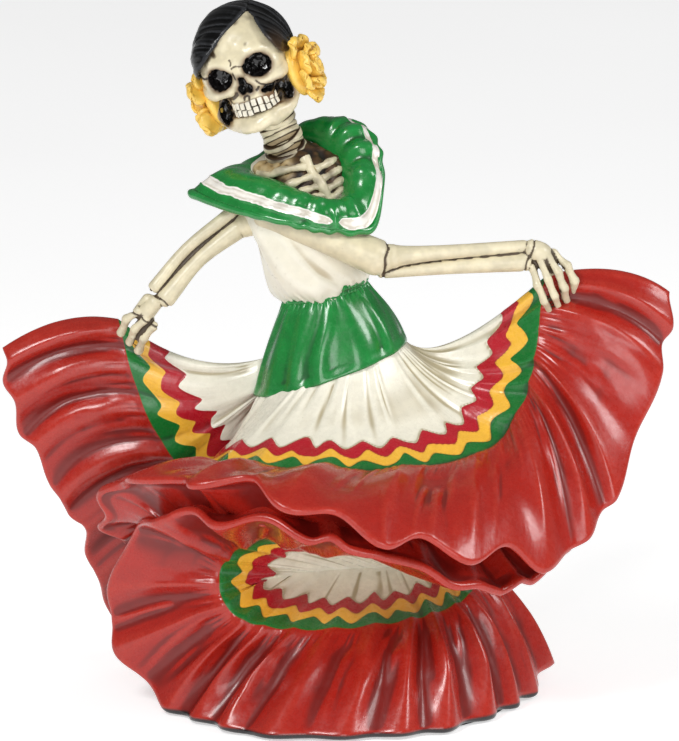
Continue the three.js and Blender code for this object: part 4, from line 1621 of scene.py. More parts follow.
@dataclass
class Chest:
    """The ribs, the breastbone and the collarbones over a dark chest, and the neck's vertebrae above them."""

    middle: Spot = (-9, -0.6, 135.5)
    radii: Spot = (12.5, 11.2, 15)
    lean: float = -12  # of the rib cage, in degrees
    inset: float = 0.9  # how far the dark mass lies under the ribs
    rib: float = 1.02  # radius of a rib
    sternum: float = 1.3
    neck: float = 4.25  # half width of the mass inside the neck
    vertebra_sides: int = 64
    BONES = (
        ((-21, -2, 142.6), (-18, -6.4, 143.2), (-15.6, -7.7, 144.5), (-12.2, -8.7, 145.4), (-8.5, -8.6, 146.1)),
        ((-17, -9, 139.9), (-14.6, -10, 140.7), (-12.5, -10.4, 141.7), (-9.5, -10.3, 142.9), (-6.9, -9.7, 143.7)),
        ((-13.6, -11, 138), (-11.4, -11.3, 138.9), (-9.5, -11.3, 139.9), (-7.2, -10.9, 140.7), (-5.3, -10.3, 141.3)),
        ((-10, -11.9, 136.9), (-8.2, -11.7, 137.5), (-6.6, -11.4, 138.1), (-4.8, -10.8, 138.7), (-3.4, -10.2, 138.8)),
        ((-6.4, -8.7, 145), (-4.5, -7.3, 145.8), (-2.5, -5.1, 146.3), (-0.8, -2, 146.5), (0.2, 1.6, 146)),
        ((-4.5, -9.4, 142.7), (-2.7, -7.9, 143.4), (-0.8, -5.4, 144.1), (0.8, -2.4, 144.2), (1.8, 0.6, 143.7)),
        ((-3.2, -9.7, 140.2), (-1.6, -8.5, 140.8), (0.3, -6.2, 141.5), (1.6, -3.6, 141.6), (2.4, -1, 141.2)),
        ((-2.4, -9.9, 137.9), (-1.1, -8.9, 138.4), (0.5, -7.1, 139.2), (1.7, -5.2, 139.5), (2.6, -3, 139.3)),
    )
    STERNUM = ((-9, -7.2, 148), (-7.2, -9.2, 144.8), (-4.8, -10.2, 141.7), (-2.9, -10.3, 138.2), (-2.1, -10, 135.8))
    SHOULDERS = (  # lumps of the dark mass: middle and half sizes
        ((-2.2, 0.5, 141.5), (4.2, 8.5, 6.5)), ((-9, 1.5, 146.2), (5.4, 5.5, 4.4)), ((-17, 0.5, 141.8), (6, 6, 4.4)),
    )  # fmt: skip
    NECK = ((-13, 1, 145.5), (-15.3, 0.2, 153), (-18.6, -0.4, 163))
    DRUM = (  # a vertebra's heights and radii
        (-0.86, 3.4), (-0.84, 4.5), (-0.7, 4.85), (-0.35, 5.05), (0.1, 5), (0.5, 4.9), (0.8, 4.7), (0.9, 4.4),
        (0.92, 3.4),
    )  # fmt: skip
    bone = Finish("chest_bone", gloss=0.38, wash=1.0, coat=0.15, cloud=0.7, bumps=0.0001, soil=0.26)
    dark = Finish("chest_hollow", gloss=0.5, coat=0.0, cloud=0.6)

    def core(self) -> Shell:
        """The dark mass behind the ribs, under the collar and around the foot of the neck.

        Returns:
            The shell, paler at the foot of the neck.
        """
        clay = Clay((-26, -15, 118), (7, 13, 156), 0.5)
        rough = 0.45 * Grain(2).at(clay.place / 1.5) + 0.5 * Grain(4).at(clay.place / 3.1)
        inset = np.array(self.radii) - self.inset
        clay.add(lump(clay.place, self.middle, inset, turned("Y", self.lean)) + rough, 0.3)
        for spot, radii in self.SHOULDERS:
            clay.add(lump(clay.place, spot, radii) + rough, 1.2)
        clay.cut(6.4 - clay.place[..., 1], 0.8)
        shell = clay.skin().wash_and_shade_layers(0.05, 0.4, 20)
        x, _, z = shell.points.T
        shell.layers["pale"] = (1 - smooth(x, -14, -11)) * smooth(z, 142, 144)
        return shell

    def bones(self) -> Mesh:
        """The lines of the ribs, breastbone and collarbones, with their thicknesses.

        Returns:
            The mesh of lines.
        """
        spots, sides, sizes = [], [], []
        shares = np.linspace(0, 1, 16)
        for path, thick in (*((path, self.rib) for path in self.BONES), (self.STERNUM, self.sternum)):
            first = len(spots)
            spots.extend(Line(path)(shares))
            sides.extend((first + k, first + k + 1) for k in range(len(shares) - 1))
            sizes.extend(thick * (1 + 0.18 * np.cos(shares * 2 * TURN)))
        mesh = bpy.data.meshes.new("bone_lines")
        mesh.from_pydata(in_frame(np.array(spots)).tolist(), sides, [])
        made = mesh.attributes.new("thick", "FLOAT", "POINT")
        made.data.foreach_set("value", np.array(sizes, np.float32) * MM)
        return mesh

    def rib_rule(self, material: Material) -> Rule:
        """Rounds every line into a bone, a little lumpy.

        Args:
            material: the bones' finish.

        Returns:
            The rule.
        """
        rule = Rule("bones_along_lines")
        sides = rule.given("Sides", "Int", 14)
        lumps = rule.given("Lumps", "Float", 0.00028)
        lines = rule.out("GeometryNodeMeshToCurve", {"Mesh": rule.start.outputs[0]})
        lines = rule.out("GeometryNodeResampleCurve", {"Curve": lines, "Count": 40})
        thick = rule.out("GeometryNodeInputNamedAttribute", {"Name": "thick"}, data_type="FLOAT")
        ring = rule.out("GeometryNodeCurvePrimitiveCircle", {"Resolution": sides, "Radius": 1.0})
        inputs = {"Curve": lines, "Profile Curve": ring, "Scale": thick, "Fill Caps": True}
        tube = rule.out("GeometryNodeCurveToMesh", inputs)
        noise = rule.out("ShaderNodeTexNoise", {"Scale": 900.0, "Detail": 2.0})
        swell = rule.times(rule.minus(noise, 0.5), rule.times(lumps, 2))
        out = rule.out("GeometryNodeInputNormal")
        push = rule.out("ShaderNodeVectorMath", {"Vector": out, "Scale": swell}, operation="SCALE")
        rule.finish(rule.out("GeometryNodeSetPosition", {"Geometry": tube, "Offset": push}), material)
        return rule

    def vertebra(self) -> Shell:
        """One vertebra: a drum with rounded rims, and ink in the gaps above and below it.

        Returns:
            The shell.
        """
        angle = np.linspace(0, 1, self.vertebra_sides, endpoint=False) * TURN
        rings = []
        for height, radius in self.DRUM:
            reach = radius * (1 + 0.03 * np.cos(2 * angle) + 0.02 * np.cos(5 * angle + 3 * height))
            rings.append(np.stack([reach * np.cos(angle), reach * np.sin(angle), height + 0 * angle], axis=-1))
        grid = np.stack(rings)
        return stack(grid, {"ink": smooth(np.abs(grid[..., 2]), 0.45, 0.8)})

    def neck_rule(self, material: Material) -> Rule:
        """Strings vertebrae along the neck's bow.

        Args:
            material: the bones' finish.

        Returns:
            The rule.
        """
        rule = Rule("vertebrae_along_neck")
        spots = zip(("Start", "Middle", "End"), in_frame(np.array(self.NECK)).tolist(), strict=True)
        ends = {name: rule.given(name, "Vector", spot) for name, spot in spots}
        count = rule.given("Count", "Int", 13)
        seed = rule.given("Seed", "Int", 4)
        bow = rule.out("GeometryNodeCurveQuadraticBezier", {"Resolution": 24, **ends})
        points = rule.out("GeometryNodeResampleCurve", {"Curve": bow, "Count": count})
        way = rule.out("GeometryNodeInputTangent")
        facing = rule.out("FunctionNodeAlignRotationToVector", {"Vector": way}, axis="Z")
        tilts = ((-0.06, 0.06), (-0.34, -0.16), (-1.5, 1.5))
        shift = rule.rotation(*(rule.chance(low, high, seed) for low, high in tilts))
        inputs = {"Rotation": facing, "Rotate By": shift}
        facing = rule.out("FunctionNodeRotateRotation", inputs, rotation_space="LOCAL")
        size = rule.minus(1.16, rule.times(rule.out("GeometryNodeSplineParameter"), 0.2))
        size = rule.times(size, rule.chance(0.95, 1.05, seed))
        rule.finish(rule.instances(points, facing, size, size, size), material)
        return rule

    def dark_zones(self, recipe: Recipe) -> list[Zone]:
        """Dark, with stained bone where it is pale."""
        return [Zone(HOLLOW_DARK), Zone(BONE_STAIN, recipe.layer("pale"))]

    def neck_core(self) -> Shell:
        """The mass that shows between the vertebrae.

        Returns:
            The shell.
        """
        middle = Line(self.NECK)(np.clip(np.linspace(-0.02, 1, 30), 0, 1))
        turns = np.linspace(0, 1, self.vertebra_sides, endpoint=False)
        rings = np.stack([ellipse((z, x, y, self.neck, self.neck - 0.15, 0.3), turns) for x, y, z in middle])
        rings[0, :, 2] -= 1.0
        return stack(rings, {"pale": np.full(rings.shape[:2], 0.8)}).wash_and_shade_layers()

    def build(self) -> None:
        """Makes the chest and the neck."""
        dark = self.dark.material(self.dark_zones)
        add_piece("chest_hollow", self.core(), dark)
        bone = self.bone.material(all_over(BONE))
        ribs = self.rib_rule(bone).grow("rib_bones", self.bones())
        grown_wash_and_shade_layers(ribs.data, 0.04, 0.3, 8)
        hand_over(ribs)
        neck = self.neck_rule(bone).grow("neck_bones", pattern("vertebra", self.vertebra()))
        grown_wash_and_shade_layers(neck.data, 0.03, 0.16, 4)
        hand_over(neck)
        add_piece("neck_core", self.neck_core(), dark)


@dataclass
class Rose:
    """A yellow rose over an ear: petals in a spiral, the inner ones upright and the outer ones spread."""

    name: str
    spot: Spot  # in the head's own space
    count: int = 17
    seed: int = 1
    radius: float = 8.2
    rise: float = 1.8  # of the inner petals over the outer ones
    petal_length: float = 5.6
    petal_width: float = 4.1  # half of it
    petal_thickness: float = 0.8
    base_radii: Spot = (7.6, 6.8, 2.6)
    paint = Finish("rose_yellow", gloss=0.36, wash=0.75, highlight_share=0.7, coat=0.2)

    def petal(self) -> Shell:
        """One cupped petal with a wavy rim, from its foot at the origin out along +Y.

        Returns:
            The shell.
        """
        across, length = np.meshgrid(np.linspace(-1, 1, 25), np.linspace(0, 1, 21), indexing="ij")
        x = across * (self.petal_width * np.sin(math.pi * np.clip(0.12 + 0.8 * length, 0, 1)) ** 0.6)
        y = self.petal_length * length * (1 - 0.22 * across**2)
        curl = 0.9 * across**2 * length + 1.5 * length**2 - 1.9 * smooth(length, 0.75, 1) * (1 - 0.3 * across**2)
        wave = 0.5 * length**2 * np.sin(5.2 * across + 0.6)
        middle = np.stack([x, y, curl + wave], axis=-1)
        rim = np.minimum(1 - np.abs(across), np.minimum(length, 1 - length))
        half = self.petal_thickness * np.sqrt(np.clip(rim / 0.2, 0, 1))
        way = unit(np.cross(np.gradient(middle, axis=0), np.gradient(middle, axis=1)))
        return pillow(middle + way * half[..., None], middle - way * half[..., None], {})

    def rule(self, material: Material) -> Rule:
        """Sets the petals in a spiral.

        Args:
            material: the petals' finish.

        Returns:
            The rule.
        """
        rule = Rule("petals_in_spiral")
        count = rule.given("Count", "Int", self.count)
        reach = rule.given("Radius", "Float", self.radius * MM)
        seed = rule.given("Seed", "Int", self.seed)
        rise = rule.given("Rise", "Float", self.rise * MM)
        index = rule.out("GeometryNodeInputIndex")
        share = rule.calc("DIVIDE", index, rule.minus(count, 1))
        angle = rule.plus(rule.times(index, GOLDEN_TURN), rule.chance(-0.25, 0.25, seed))
        away = rule.times(reach, rule.times(rule.calc("POWER", share, 0.6), 0.66))
        height = rule.times(rise, rule.minus(1, rule.calc("POWER", share, 1.3)))
        x = rule.times(away, rule.calc("SINE", rule.times(angle, -1)))
        y = rule.times(away, rule.calc("COSINE", angle))
        points = rule.out("GeometryNodePoints", {"Count": count, "Position": rule.vector(x, y, height)})
        tilt = rule.plus(rule.minus(1.35, rule.times(share, 1.3)), rule.chance(-0.12, 0.12, seed))
        turn = rule.rotation(tilt, rule.chance(-0.2, 0.2, seed), angle)
        size = rule.times(rule.plus(rule.times(share, 0.35), 0.62), rule.chance(0.88, 1.1, seed))
        rule.finish(rule.instances(points, turn, size, size, size), material)
        return rule

    def base(self, turn: Array, middle: Array) -> Shell:
        """The bud's rounded base, behind the petals.

        Args:
            turn: the rose's turn.
            middle: its place.

        Returns:
            The shell.
        """
        angles = np.linspace(0.03, 0.97, 30) * math.pi, np.linspace(0, 2, 60, False) * math.pi
        down, around = np.meshgrid(*angles, indexing="ij")
        ways = np.stack([np.sin(down) * np.cos(around), np.sin(down) * np.sin(around), np.cos(down)], axis=-1)
        return stack((ways * np.array(self.base_radii) + np.array([0, 0, -1.2])) @ turn.T + middle).wash_and_shade_layers()

    def build(self, head: "Head") -> None:
        """Makes the petals and the bud's base, and turns them into place.

        Args:
            head: the head that wears it.
        """
        material = self.paint.material(all_over(ROSE_YELLOW))
        turn = head.turn() @ turned("Y", 90 * math.copysign(1, self.spot[0]))
        middle = head.turn() @ np.array(self.spot) + np.array(head.middle)
        flower = self.rule(material).grow(self.name, pattern("petal", self.petal()))
        put(flower.data, turn, middle)
        grown_wash_and_shade_layers(flower.data, 0.06, 0.5, 10)
        hand_over(flower)
        add_piece(self.name + "_base", self.base(turn, middle), material)


@dataclass(frozen=True)
class Arm:
    """One arm and its hand: bones that swell at the joints, and fingers that grip the skirt."""

    name: str
    low: Spot  # corners of the box that it is modelled in
    high: Spot
    bones: Sequence[tuple[Stations, Sequence[float], float, int]]  # stations, radii, softness, straight pieces
    fingers: Sequence[Stations]  # each finger's joints
    cracks: Sequence[tuple[Spot, Spot]]  # a spot on each dark line, and the bone's direction there
    step: float = 0.36
    finger: Spot = (1.4, 1.0, 1.35)  # a finger bone's radii
    crack_width: float = 0.34
    crack_depth: float = 0.4

    def form(self) -> Shell:
        """The arm's bones and fingers as one skin.

        Returns:
            The shell.
        """
        clay = Clay(self.low, self.high, self.step)
        for stations, radii, soft, pieces in self.bones:
            clay.add(rod(clay.place, stations, radii, pieces), soft)
        for path in self.fingers:
            for start, end in itertools.pairwise(np.array(path)):
                clay.add(rod(clay.place, [start, (start + end) / 2, end], self.finger, 4), 0.12)
        return clay.skin()

    def shell(self) -> Shell:
        """The arm, with dark lines scored round its joints and between the fingers; the dark between the fingers is
        partly brown paint and partly painted shade.

        Returns:
            The shell.
        """
        shell = self.form()
        ink = np.zeros(len(shell.points))
        for spot, way in self.cracks:
            offset = shell.points - np.array(spot, float)
            apart = offset @ unit(np.array(way, float)) + 0.4 * Grain(12).at(shell.points / 2.2)
            near = 1 - smooth(np.linalg.norm(offset, axis=-1), 5.5, 6.5)
            ink = np.maximum(ink, bell(apart, self.crack_width) * near)
        # The gaps between the fingers are darkened: partly brown paint, partly painted shade.
        reaches = np.sort([rod(shell.points, path, [0.0] * len(path), 12) for path in self.fingers], axis=0)
        between = bell(reaches[1] - reaches[0], 0.7) * (1 - smooth(reaches[0], 1.6, 2.4))
        ink = np.maximum(ink, between)
        shell.points = shell.points - shell.normals() * (self.crack_depth * ink)[:, None]
        return shell.wash_and_shade_layers(0.03, 0.5, 24).stain(1.2 * ink)


STRAIGHT_ARM = Arm(
    "straight_arm",
    (-24, -20, 103),
    (66, -1, 138),
    bones=(
        (((-20, -8, 132), (-5, -12, 128.5), (9.6, -13, 122.6)), (2.5, 4.3, 4.9), 0.5, 8),
        (((12.6, -13, 122.6), (17, -13, 123), (28.5, -12.5, 123.8), (48.5, -11, 125)), (3.7, 2.6, 1.9, 1.7), 0.25, 8),
        (((11.5, -12.6, 118.2), (28.5, -12, 119.7), (48.5, -11, 121)), (1.5, 2, 2.7), 0.15, 8),
        (((13, -11.6, 120.4), (28.5, -11, 121.8), (48, -10, 123.2)), (1.4, 1.3, 1.4), 0.1, 8),
        (((51, -11, 124.4), (53.5, -10.6, 122.6), (55.5, -9.2, 119)), (2.5, 3, 2.4), 0.2, 8),
    ),
    fingers=(
        ((51, -11.6, 119.6), (52.3, -12.8, 115), (54.2, -12, 110.6), (55.8, -8, 107)),
        ((53.2, -12, 120.9), (54.9, -12.9, 116.6), (56.6, -12.3, 112), (57.8, -8, 107.8)),
        ((55, -11.4, 122.2), (57.6, -12.2, 118.4), (59.2, -11.4, 113.8), (59.9, -7.4, 109.4)),
        ((56.4, -9.8, 122.8), (60, -10.4, 119.6), (62, -9.6, 115.4), (61.9, -6, 110.8)),
    ),
    cracks=(((12.3, -13, 122), (-0.99, 0, 0.12)), ((50.2, -11, 123), (-0.95, 0, 0.3))),
)
BENT_ARM = Arm(
    "bent_arm",
    (-62, -14, 91),
    (-8, 4, 139),
    bones=(
        (((-13, -2, 132), (-20, -3, 131), (-25, -3, 129)), (4.2, 4.2, 3.3), 0.5, 8),
        (((-28.5, -3, 132.2), (-40, -6, 123.5), (-48.6, -8.6, 113.6)), (1.8, 1.5, 1.7), 0.25, 8),
        (((-26, -3, 128.6), (-36.8, -6, 120.4), (-45.4, -9, 110.8)), (2.9, 2, 2.6), 0.15, 8),
        (((-27.4, -2, 130.2), (-38.4, -5, 121.8), (-47, -7.6, 112.2)), (1.4, 1.2, 1.4), 0.1, 8),
        (((-48.6, -9, 109.4), (-50.9, -8.4, 106.8)), (2.2, 2.6), 0.2, 2),
        (((-50.4, -8.4, 110), (-52.6, -7.4, 106.2)), (1.7, 2), 0.2, 2),
        (((-50.6, -7.6, 104.4), (-53.4, -5, 100.2)), (2, 2.2), 0.2, 2),
    ),
    fingers=(
        ((-53, -9, 107), (-56, -7, 104.5), (-57.5, -3, 100)),
        ((-51, -9.6, 105), (-53.8, -7.6, 102), (-55.2, -2.6, 97.4)),
        ((-49, -9, 103), (-51.5, -7, 99.5), (-53, -2, 95)),
    ),
    cracks=(((-47.4, -9, 110.8), (0.64, 0, 0.77)), ((-51.2, -8, 105), (0.5, 0, 0.86))),
)


@dataclass
class Arms:
    """The raised straight arm and the bent one, in one bone finish."""

    arms: tuple[Arm, ...] = (STRAIGHT_ARM, BENT_ARM)
    finish = Finish("bone", gloss=0.38, wash=0.95, coat=0.12, cloud=0.36, soil=0.07)

    def build(self) -> None:
        """Makes both arms."""
        material = self.finish.material(all_over(BONE))
        for arm in self.arms:
            add_piece(arm.name, arm.shell(), material)


@dataclass
class Head:
    """The tilted skull with its hair. It is modelled in its own space, facing -Y, and turned into place."""

    middle: Spot = (-25, -3, 175.2)
    roll: float = -21
    yaw: float = -12
    step: float = 0.31
    hair_step: float = 0.35
    tooth_step: float = 0.16
    tooth_half: Spot = (0.8, 0.8, 1.1)
    teeth_count: int = 10
    teeth_half_turn: float = 71  # degrees of the tooth row's bow, each way from the middle
    wrinkle: float = 0.5  # depth of the sockets' crumpled floors
    crack_depth: float = 0.25
    strand_depth: float = 0.5
    BOW = (0.5, -6.2, 5.8, 6.3)  # the row's middle x and y, and its half sizes
    MASSES = (  # middle, half sizes and softness of the join
        ((0, 0.5, 0.5), (12, 12.8, 12.8), 1), ((0.3, -4.2, 2.2), (10.2, 8, 7.2), 2),
        ((0.3, -5.6, -5.2), (9.6, 6.9, 4.9), 1.6), ((-0.5, -1, -10.6), (9.6, 6.4, 7.4), 1),
        ((0.8, -7.2, -10.2), (6.4, 5.3, 4.4), 1), ((0.2, -7, -15.8), (7.4, 5.2, 3.4), 1.2),
    )  # fmt: skip
    PITS = (  # middle, half sizes, turn about the forward axis, softness of the rim
        ((-5.3, -11, -2.6), (3.5, 3.6, 3.1), -14, 0.5), ((5.5, -11.2, -1.9), (3.8, 3.6, 3.1), 14, 0.5),
        ((0.4, -13.2, -5.7), (1, 3.2, 2.4), 0, 0.2), ((-0.5, -13, -7), (1.1, 3.2, 1.4), 16, 0.2),
        ((1.3, -13, -7), (1.1, 3.2, 1.4), -16, 0.2), ((6.6, -9.4, -8.8), (3.3, 3, 1.1), -4, 0.3),
        ((8.8, -7.6, -11.2), (2.3, 4.6, 3.3), -14, 0.5), ((-9, -6.8, -12.2), (2.1, 4.4, 3.9), 10, 0.5),
    )  # fmt: skip
    CRACKS = (  # seen from the front: x and z
        ((-0.9, -0.5), (0.2, -0.1), (1, -0.4), (2, -0.8)), ((-0.6, 1.7), (-0.5, 1), (-0.9, 0.3)),
        ((-11.2, -1), (-10, -1.5), (-8.6, -1.5)), ((4, -5.6), (4.8, -6.9), (5.8, -7.7), (8.3, -8.5), (11, -8.1)),
        ((-0.9, -9.6), (-0.6, -8.9), (0.2, -8.7), (0.7, -9.2), (0.4, -9.8)), ((3.2, -8.2), (3.9, -7.6)),
    )  # fmt: skip
    HAIRLINE = (
        (5.8, 11.2), (0.1, 8.4), (-5, 4.8), (-10.4, 0.6), (-12.6, -3), (-13.4, -7), (-18, -8), (-18, -30),
        (18, -30), (18, -7), (13, -5.5), (12.2, -2.9), (11, 1.9), (9.1, 6.6), (7.4, 9.6),
    )  # fmt: skip
    bone = Finish("skull_bone", gloss=0.34, wash=0.95, coat=0.2, cloud=0.26, wet="pit", soil=0.03)
    # The hair's ridges get a strong painted highlight.
    hair_paint = Finish("hair_black", gloss=0.2, wash=0.8, highlight_share=0.6, coat=0.06, speck=0.0, shine=0.16)
    enamel = Finish("teeth_white", gloss=0.3, wash=0.8, coat=0.2, speck=0.1)

    def turn(self) -> Array:
        """The head's turn into the figure's pose."""
        return turned("Y", self.roll) @ turned("Z", self.yaw)

    def posed(self, shell: Shell) -> Shell:
        """Moves a shell from the head's own space into the figure's."""
        shell.points = shell.points @ self.turn().T + np.array(self.middle)
        return shell

    def skull_form(self) -> Shell:
        """The skull's masses, brows, cheekbones and jaw, with its sockets cut.

        Returns:
            The shell.
        """
        clay = Clay((-15, -16, -21), (15.5, 15, 15), self.step)
        place = clay.place
        for spot, radii, soft in self.MASSES:
            clay.add(lump(place, spot, radii), soft)
        clay.add(rod(place, [[-3.6, -10.6, -17.0], [0.2, -11.6, -17.2], [4.0, -10.4, -16.6]], [1.6, 1.9, 1.6], 6), 1.2)
        for side, wide in ((-1, -1.0), (1, 0.92)):
            clay.add(lump(place, (8.2 * side, -4.4, -3.0), (3.4, 6.2, 5.0)), 1.4)
            brow = [[9.4 * side, -7.6, 0.6], [5.6 * side, -10.8, 1.8], [1.6 * side, -12.0, -0.4]]
            clay.add(rod(place, brow, [1.0, 1.3, 1.2], 6), 1.8)
            arch = [[4.6 * side, -11.2, -6.3], [8.4 * wide, -9.4, -6.6],
                    [11.2 * wide, -5.6, -6.2], [12.2 * wide, 0, -4.8]]
            clay.add(rod(place, arch, [1.2, 1.6, 1.4, 1.2]), 1.8)
            jaw = [[12 * wide, -0.5, -6], [11 * wide, -2.2, -11.6], [8.2 * wide, -4.8, -15.8], [4 * side, -8.4, -17.4]]
            clay.add(rod(place, jaw, [1.5, 2.0, 2.2, 1.9]), 1.6)
        clay.add(rod(place, [[0.3, -11.6, 0.2], [0.3, -12.7, -3.0]], [1.5, 1.1], 2), 0.9)
        for spot, radii, turn, soft in self.PITS:
            clay.cut(lump(place, spot, radii, turned("Y", turn)), soft)
        return clay.skin()

    def skull(self) -> Shell:
        """The skull, crumpled in its sockets, cracked, and stained along the hairline.

        Returns:
            The shell, in place, with its paints' layers.
        """
        shell = self.skull_form()
        spots = shell.points
        x, y, z = spots.T
        front = smooth(-y, 1.0, 3.0)
        pits = np.full(len(spots), np.inf)
        for spot, radii, turn, _ in self.PITS:
            pits = np.minimum(pits, lump(spots, spot, radii, turned("Y", turn)))
        pit = (1 - smooth(pits, 0.0, 0.35)) * front
        shell.layers["pit"] = pit
        shell.layers["rim"] = 0.85 * (1 - smooth(pits, 0.1, 1.5)) * front
        flat = spots[:, [0, 2]]
        ink = sum(bell(near_line(flat, line), 0.26) for line in self.CRACKS) * smooth(-y, 5, 6)
        crumpled = self.wrinkle * Grain(3).at(spots / 0.9) * pit * smooth(np.abs(x), 1.8, 2.4)
        uneven = 0.16 * Grain(13).at(spots / 2.3) * (1 - pit)
        height = crumpled + uneven - self.crack_depth * np.minimum(ink, 1)
        shell.points = spots + shell.normals() * height[:, None]
        gums = smooth(z, -14.6, -14.0) * (1 - smooth(z, -10.2, -9.8))
        bow = np.hypot((x - self.BOW[0]) / self.BOW[2], (y - self.BOW[1]) / self.BOW[3])
        shell.layers["gums"] = gums * smooth(bow, 0.8, 0.9) * smooth(-y, 6.2, 7.2)
        right, left = near_line(flat, self.HAIRLINE[:6]), near_line(flat, self.HAIRLINE[9:])
        stain = np.exp(-right / 1.1) + np.exp(-left / 0.9)
        stain = stain * (0.5 + 0.5 * Grain(6).at(spots / 1.6)) * smooth(-y, 3, 6)
        return self.posed(shell.wash_and_shade_layers(0.03, 0.5, 24)).stain(1.4 * ink + stain)

    def tooth(self) -> Shell:
        """One tooth, rounded, a little narrower at the gum.

        Returns:
            The shell, inked along its sides.
        """
        clay = Clay((-1.4, -1.4, -1.6), (1.4, 1.4, 1.6), self.tooth_step)
        up = clay.place[..., 2]
        narrow = clay.place * np.stack([1 + 0.07 * up, 1 + 0.07 * up, np.ones_like(up)], axis=-1)
        clay.add(block(narrow, (0, 0, 0), self.tooth_half, 0, 0.4), 0.1)
        shell = clay.skin()
        across, _, up = np.abs(shell.points).T
        shell.layers["ink"] = smooth(across, 0.62, 0.85) + 0.5 * smooth(up, 0.95, 1.15)
        return shell

    def teeth_rule(self, material: Material) -> Rule:
        """Sets a tooth on each point of the bow, upper and lower.

        Args:
            material: the teeth's finish.

        Returns:
            The rule.
        """
        rule = Rule("teeth_on_bow")
        count = rule.given("Count", "Int", self.teeth_count)
        half = rule.given("HalfTurn", "Float", math.radians(self.teeth_half_turn))
        seed = rule.given("Seed", "Int", 5)
        bow_x, bow_y, half_x, half_y = (size * MM for size in self.BOW)
        joined = rule.node("GeometryNodeJoinGeometry")
        rows = []
        for name, middle, size, first in (("Upper", -11.15, 1.0, 0), ("Lower", -13.1, 0.84, 40)):
            height = rule.given(name, "Float", middle * MM)
            index = rule.out("GeometryNodeInputIndex")
            share = rule.minus(rule.calc("DIVIDE", rule.times(index, 2), rule.minus(count, 1)), 1)
            turn = rule.times(share, half)
            x = rule.plus(bow_x, rule.times(half_x, rule.calc("SINE", turn)))
            y = rule.minus(bow_y, rule.times(half_y, rule.calc("COSINE", turn)))
            z = rule.plus(height, rule.times(0.25 * MM, rule.calc("SINE", rule.times(share, 9))))
            spots = rule.out("GeometryNodePoints", {"Count": count, "Position": rule.vector(x, y, z)})
            lean, wide, tall = (
                rule.chance(low, high, rule.plus(seed, first + k))
                for k, (low, high) in enumerate(((-0.1, 0.1), (0.9, 1.0), (0.82, 1.08)))
            )
            wide = rule.minus(wide, rule.times(0.12, rule.calc("ABSOLUTE", share)))
            rows.append(rule.instances(spots, rule.rotation(0.0, lean, turn), wide, 1.0, rule.times(size, tall)))
        for row in rows:
            rule.tree.links.new(row, joined.inputs[0])
        rule.finish(joined.outputs[0], material)
        return rule

    def teeth(self) -> None:
        """Makes both rows of teeth."""
        rows = self.teeth_rule(self.enamel.material(all_over(TEETH))).grow("teeth", pattern("tooth", self.tooth()))
        put(rows.data, self.turn(), np.array(self.middle))
        grown_wash_and_shade_layers(rows.data, 0.03, 0.5, 8)
        hand_over(rows)

    def window(self, place: Array) -> Array:
        """How far places lie outside the opening in the hair that shows the face.

        Args:
            place: the places.

        Returns:
            The distances.
        """
        outline = np.array(self.HAIRLINE)
        x, z = place[..., 0], place[..., 2]
        window = np.full(x.shape, 1e3)
        inside = np.zeros(x.shape, bool)
        for (x0, z0), (x1, z1) in zip(outline, np.roll(outline, -1, axis=0), strict=True):
            way = np.array([x1 - x0, z1 - z0])
            share = np.clip(((x - x0) * way[0] + (z - z0) * way[1]) / (way @ way), 0, 1)
            window = np.minimum(window, np.hypot(x - x0 - share * way[0], z - z0 - share * way[1]))
            inside ^= ((z0 > z) != (z1 > z)) & (x < x0 + (z - z0) * way[0] / (way[1] or 1e-9))
        return np.maximum(np.where(inside, -window, window), place[..., 1] + 2)

    def hair(self) -> Shell:
        """The hair, combed from its parting down to a knot at the nape.

        Returns:
            The shell, in place.
        """
        clay = Clay((-18, -17, -22), (18, 24, 18), self.hair_step)
        place = clay.place
        clay.add(lump(place, (0.2, 0.9, 0.6), (13.1, 14.0, 13.2)), 0.1)
        for side in (-1, 1):
            clay.add(lump(place, (5.6 * side, -4.5, 1.0), (7.3, 9.4, 8.8)), 1.6)
        clay.cut(self.window(place), 0.8)
        clay.add(lump(place, (0, 13.5, -5), (7.4, 5.4, 6.4)), 0.8)
        shell = clay.skin()
        x, y, z = shell.points.T
        angle = np.arctan2(z + 8, -(y - 5)) + 0.02 * x
        swirl = np.arctan2(z + 5, x) + 0.35 * np.hypot(x, z + 5)
        lane = mix(angle * 13, swirl * 5, smooth(y, 11, 14))
        cells = np.stack([lane, 0.05 * x, np.where(x > 6, 40.0, 0.0)], axis=-1)
        locks = Grain(8).at(cells * np.array([0.55, 1, 1]))
        strands = 0.55 * locks - 0.7 * bell(locks, 0.13) + 0.5 * Grain(9).at(cells * np.array([2.1, 1, 1]))
        front = smooth(-y, 2, 8)
        inland = smooth(near_line(shell.points[:, [0, 2]], (*self.HAIRLINE, self.HAIRLINE[0])), 0.5, 2.0)
        shell.layers["brown"] = smooth(x, 6, 11) * front * smooth(-z, -7, 2)
        shell.points = shell.points + shell.normals() * (self.strand_depth * strands * mix(1, inland, front))[:, None]
        return self.posed(shell.wash_and_shade_layers(0.05, 0.6, 12))

    def bone_zones(self, recipe: Recipe) -> list[Zone]:
        """Bone, stained round the sockets and along the gums, and black inside the sockets."""
        layers = (("rim", SOCKET_RIM), ("gums", SOCKET_RIM), ("pit", SOCKET))
        return [Zone(BONE), *(Zone(paint, recipe.layer(name)) for name, paint in layers)]

    def hair_zones(self, recipe: Recipe) -> list[Zone]:
        """Black, thin and brown at the temple."""
        return [Zone(HAIR), Zone(HAIR_EDGE, recipe.layer("brown"))]

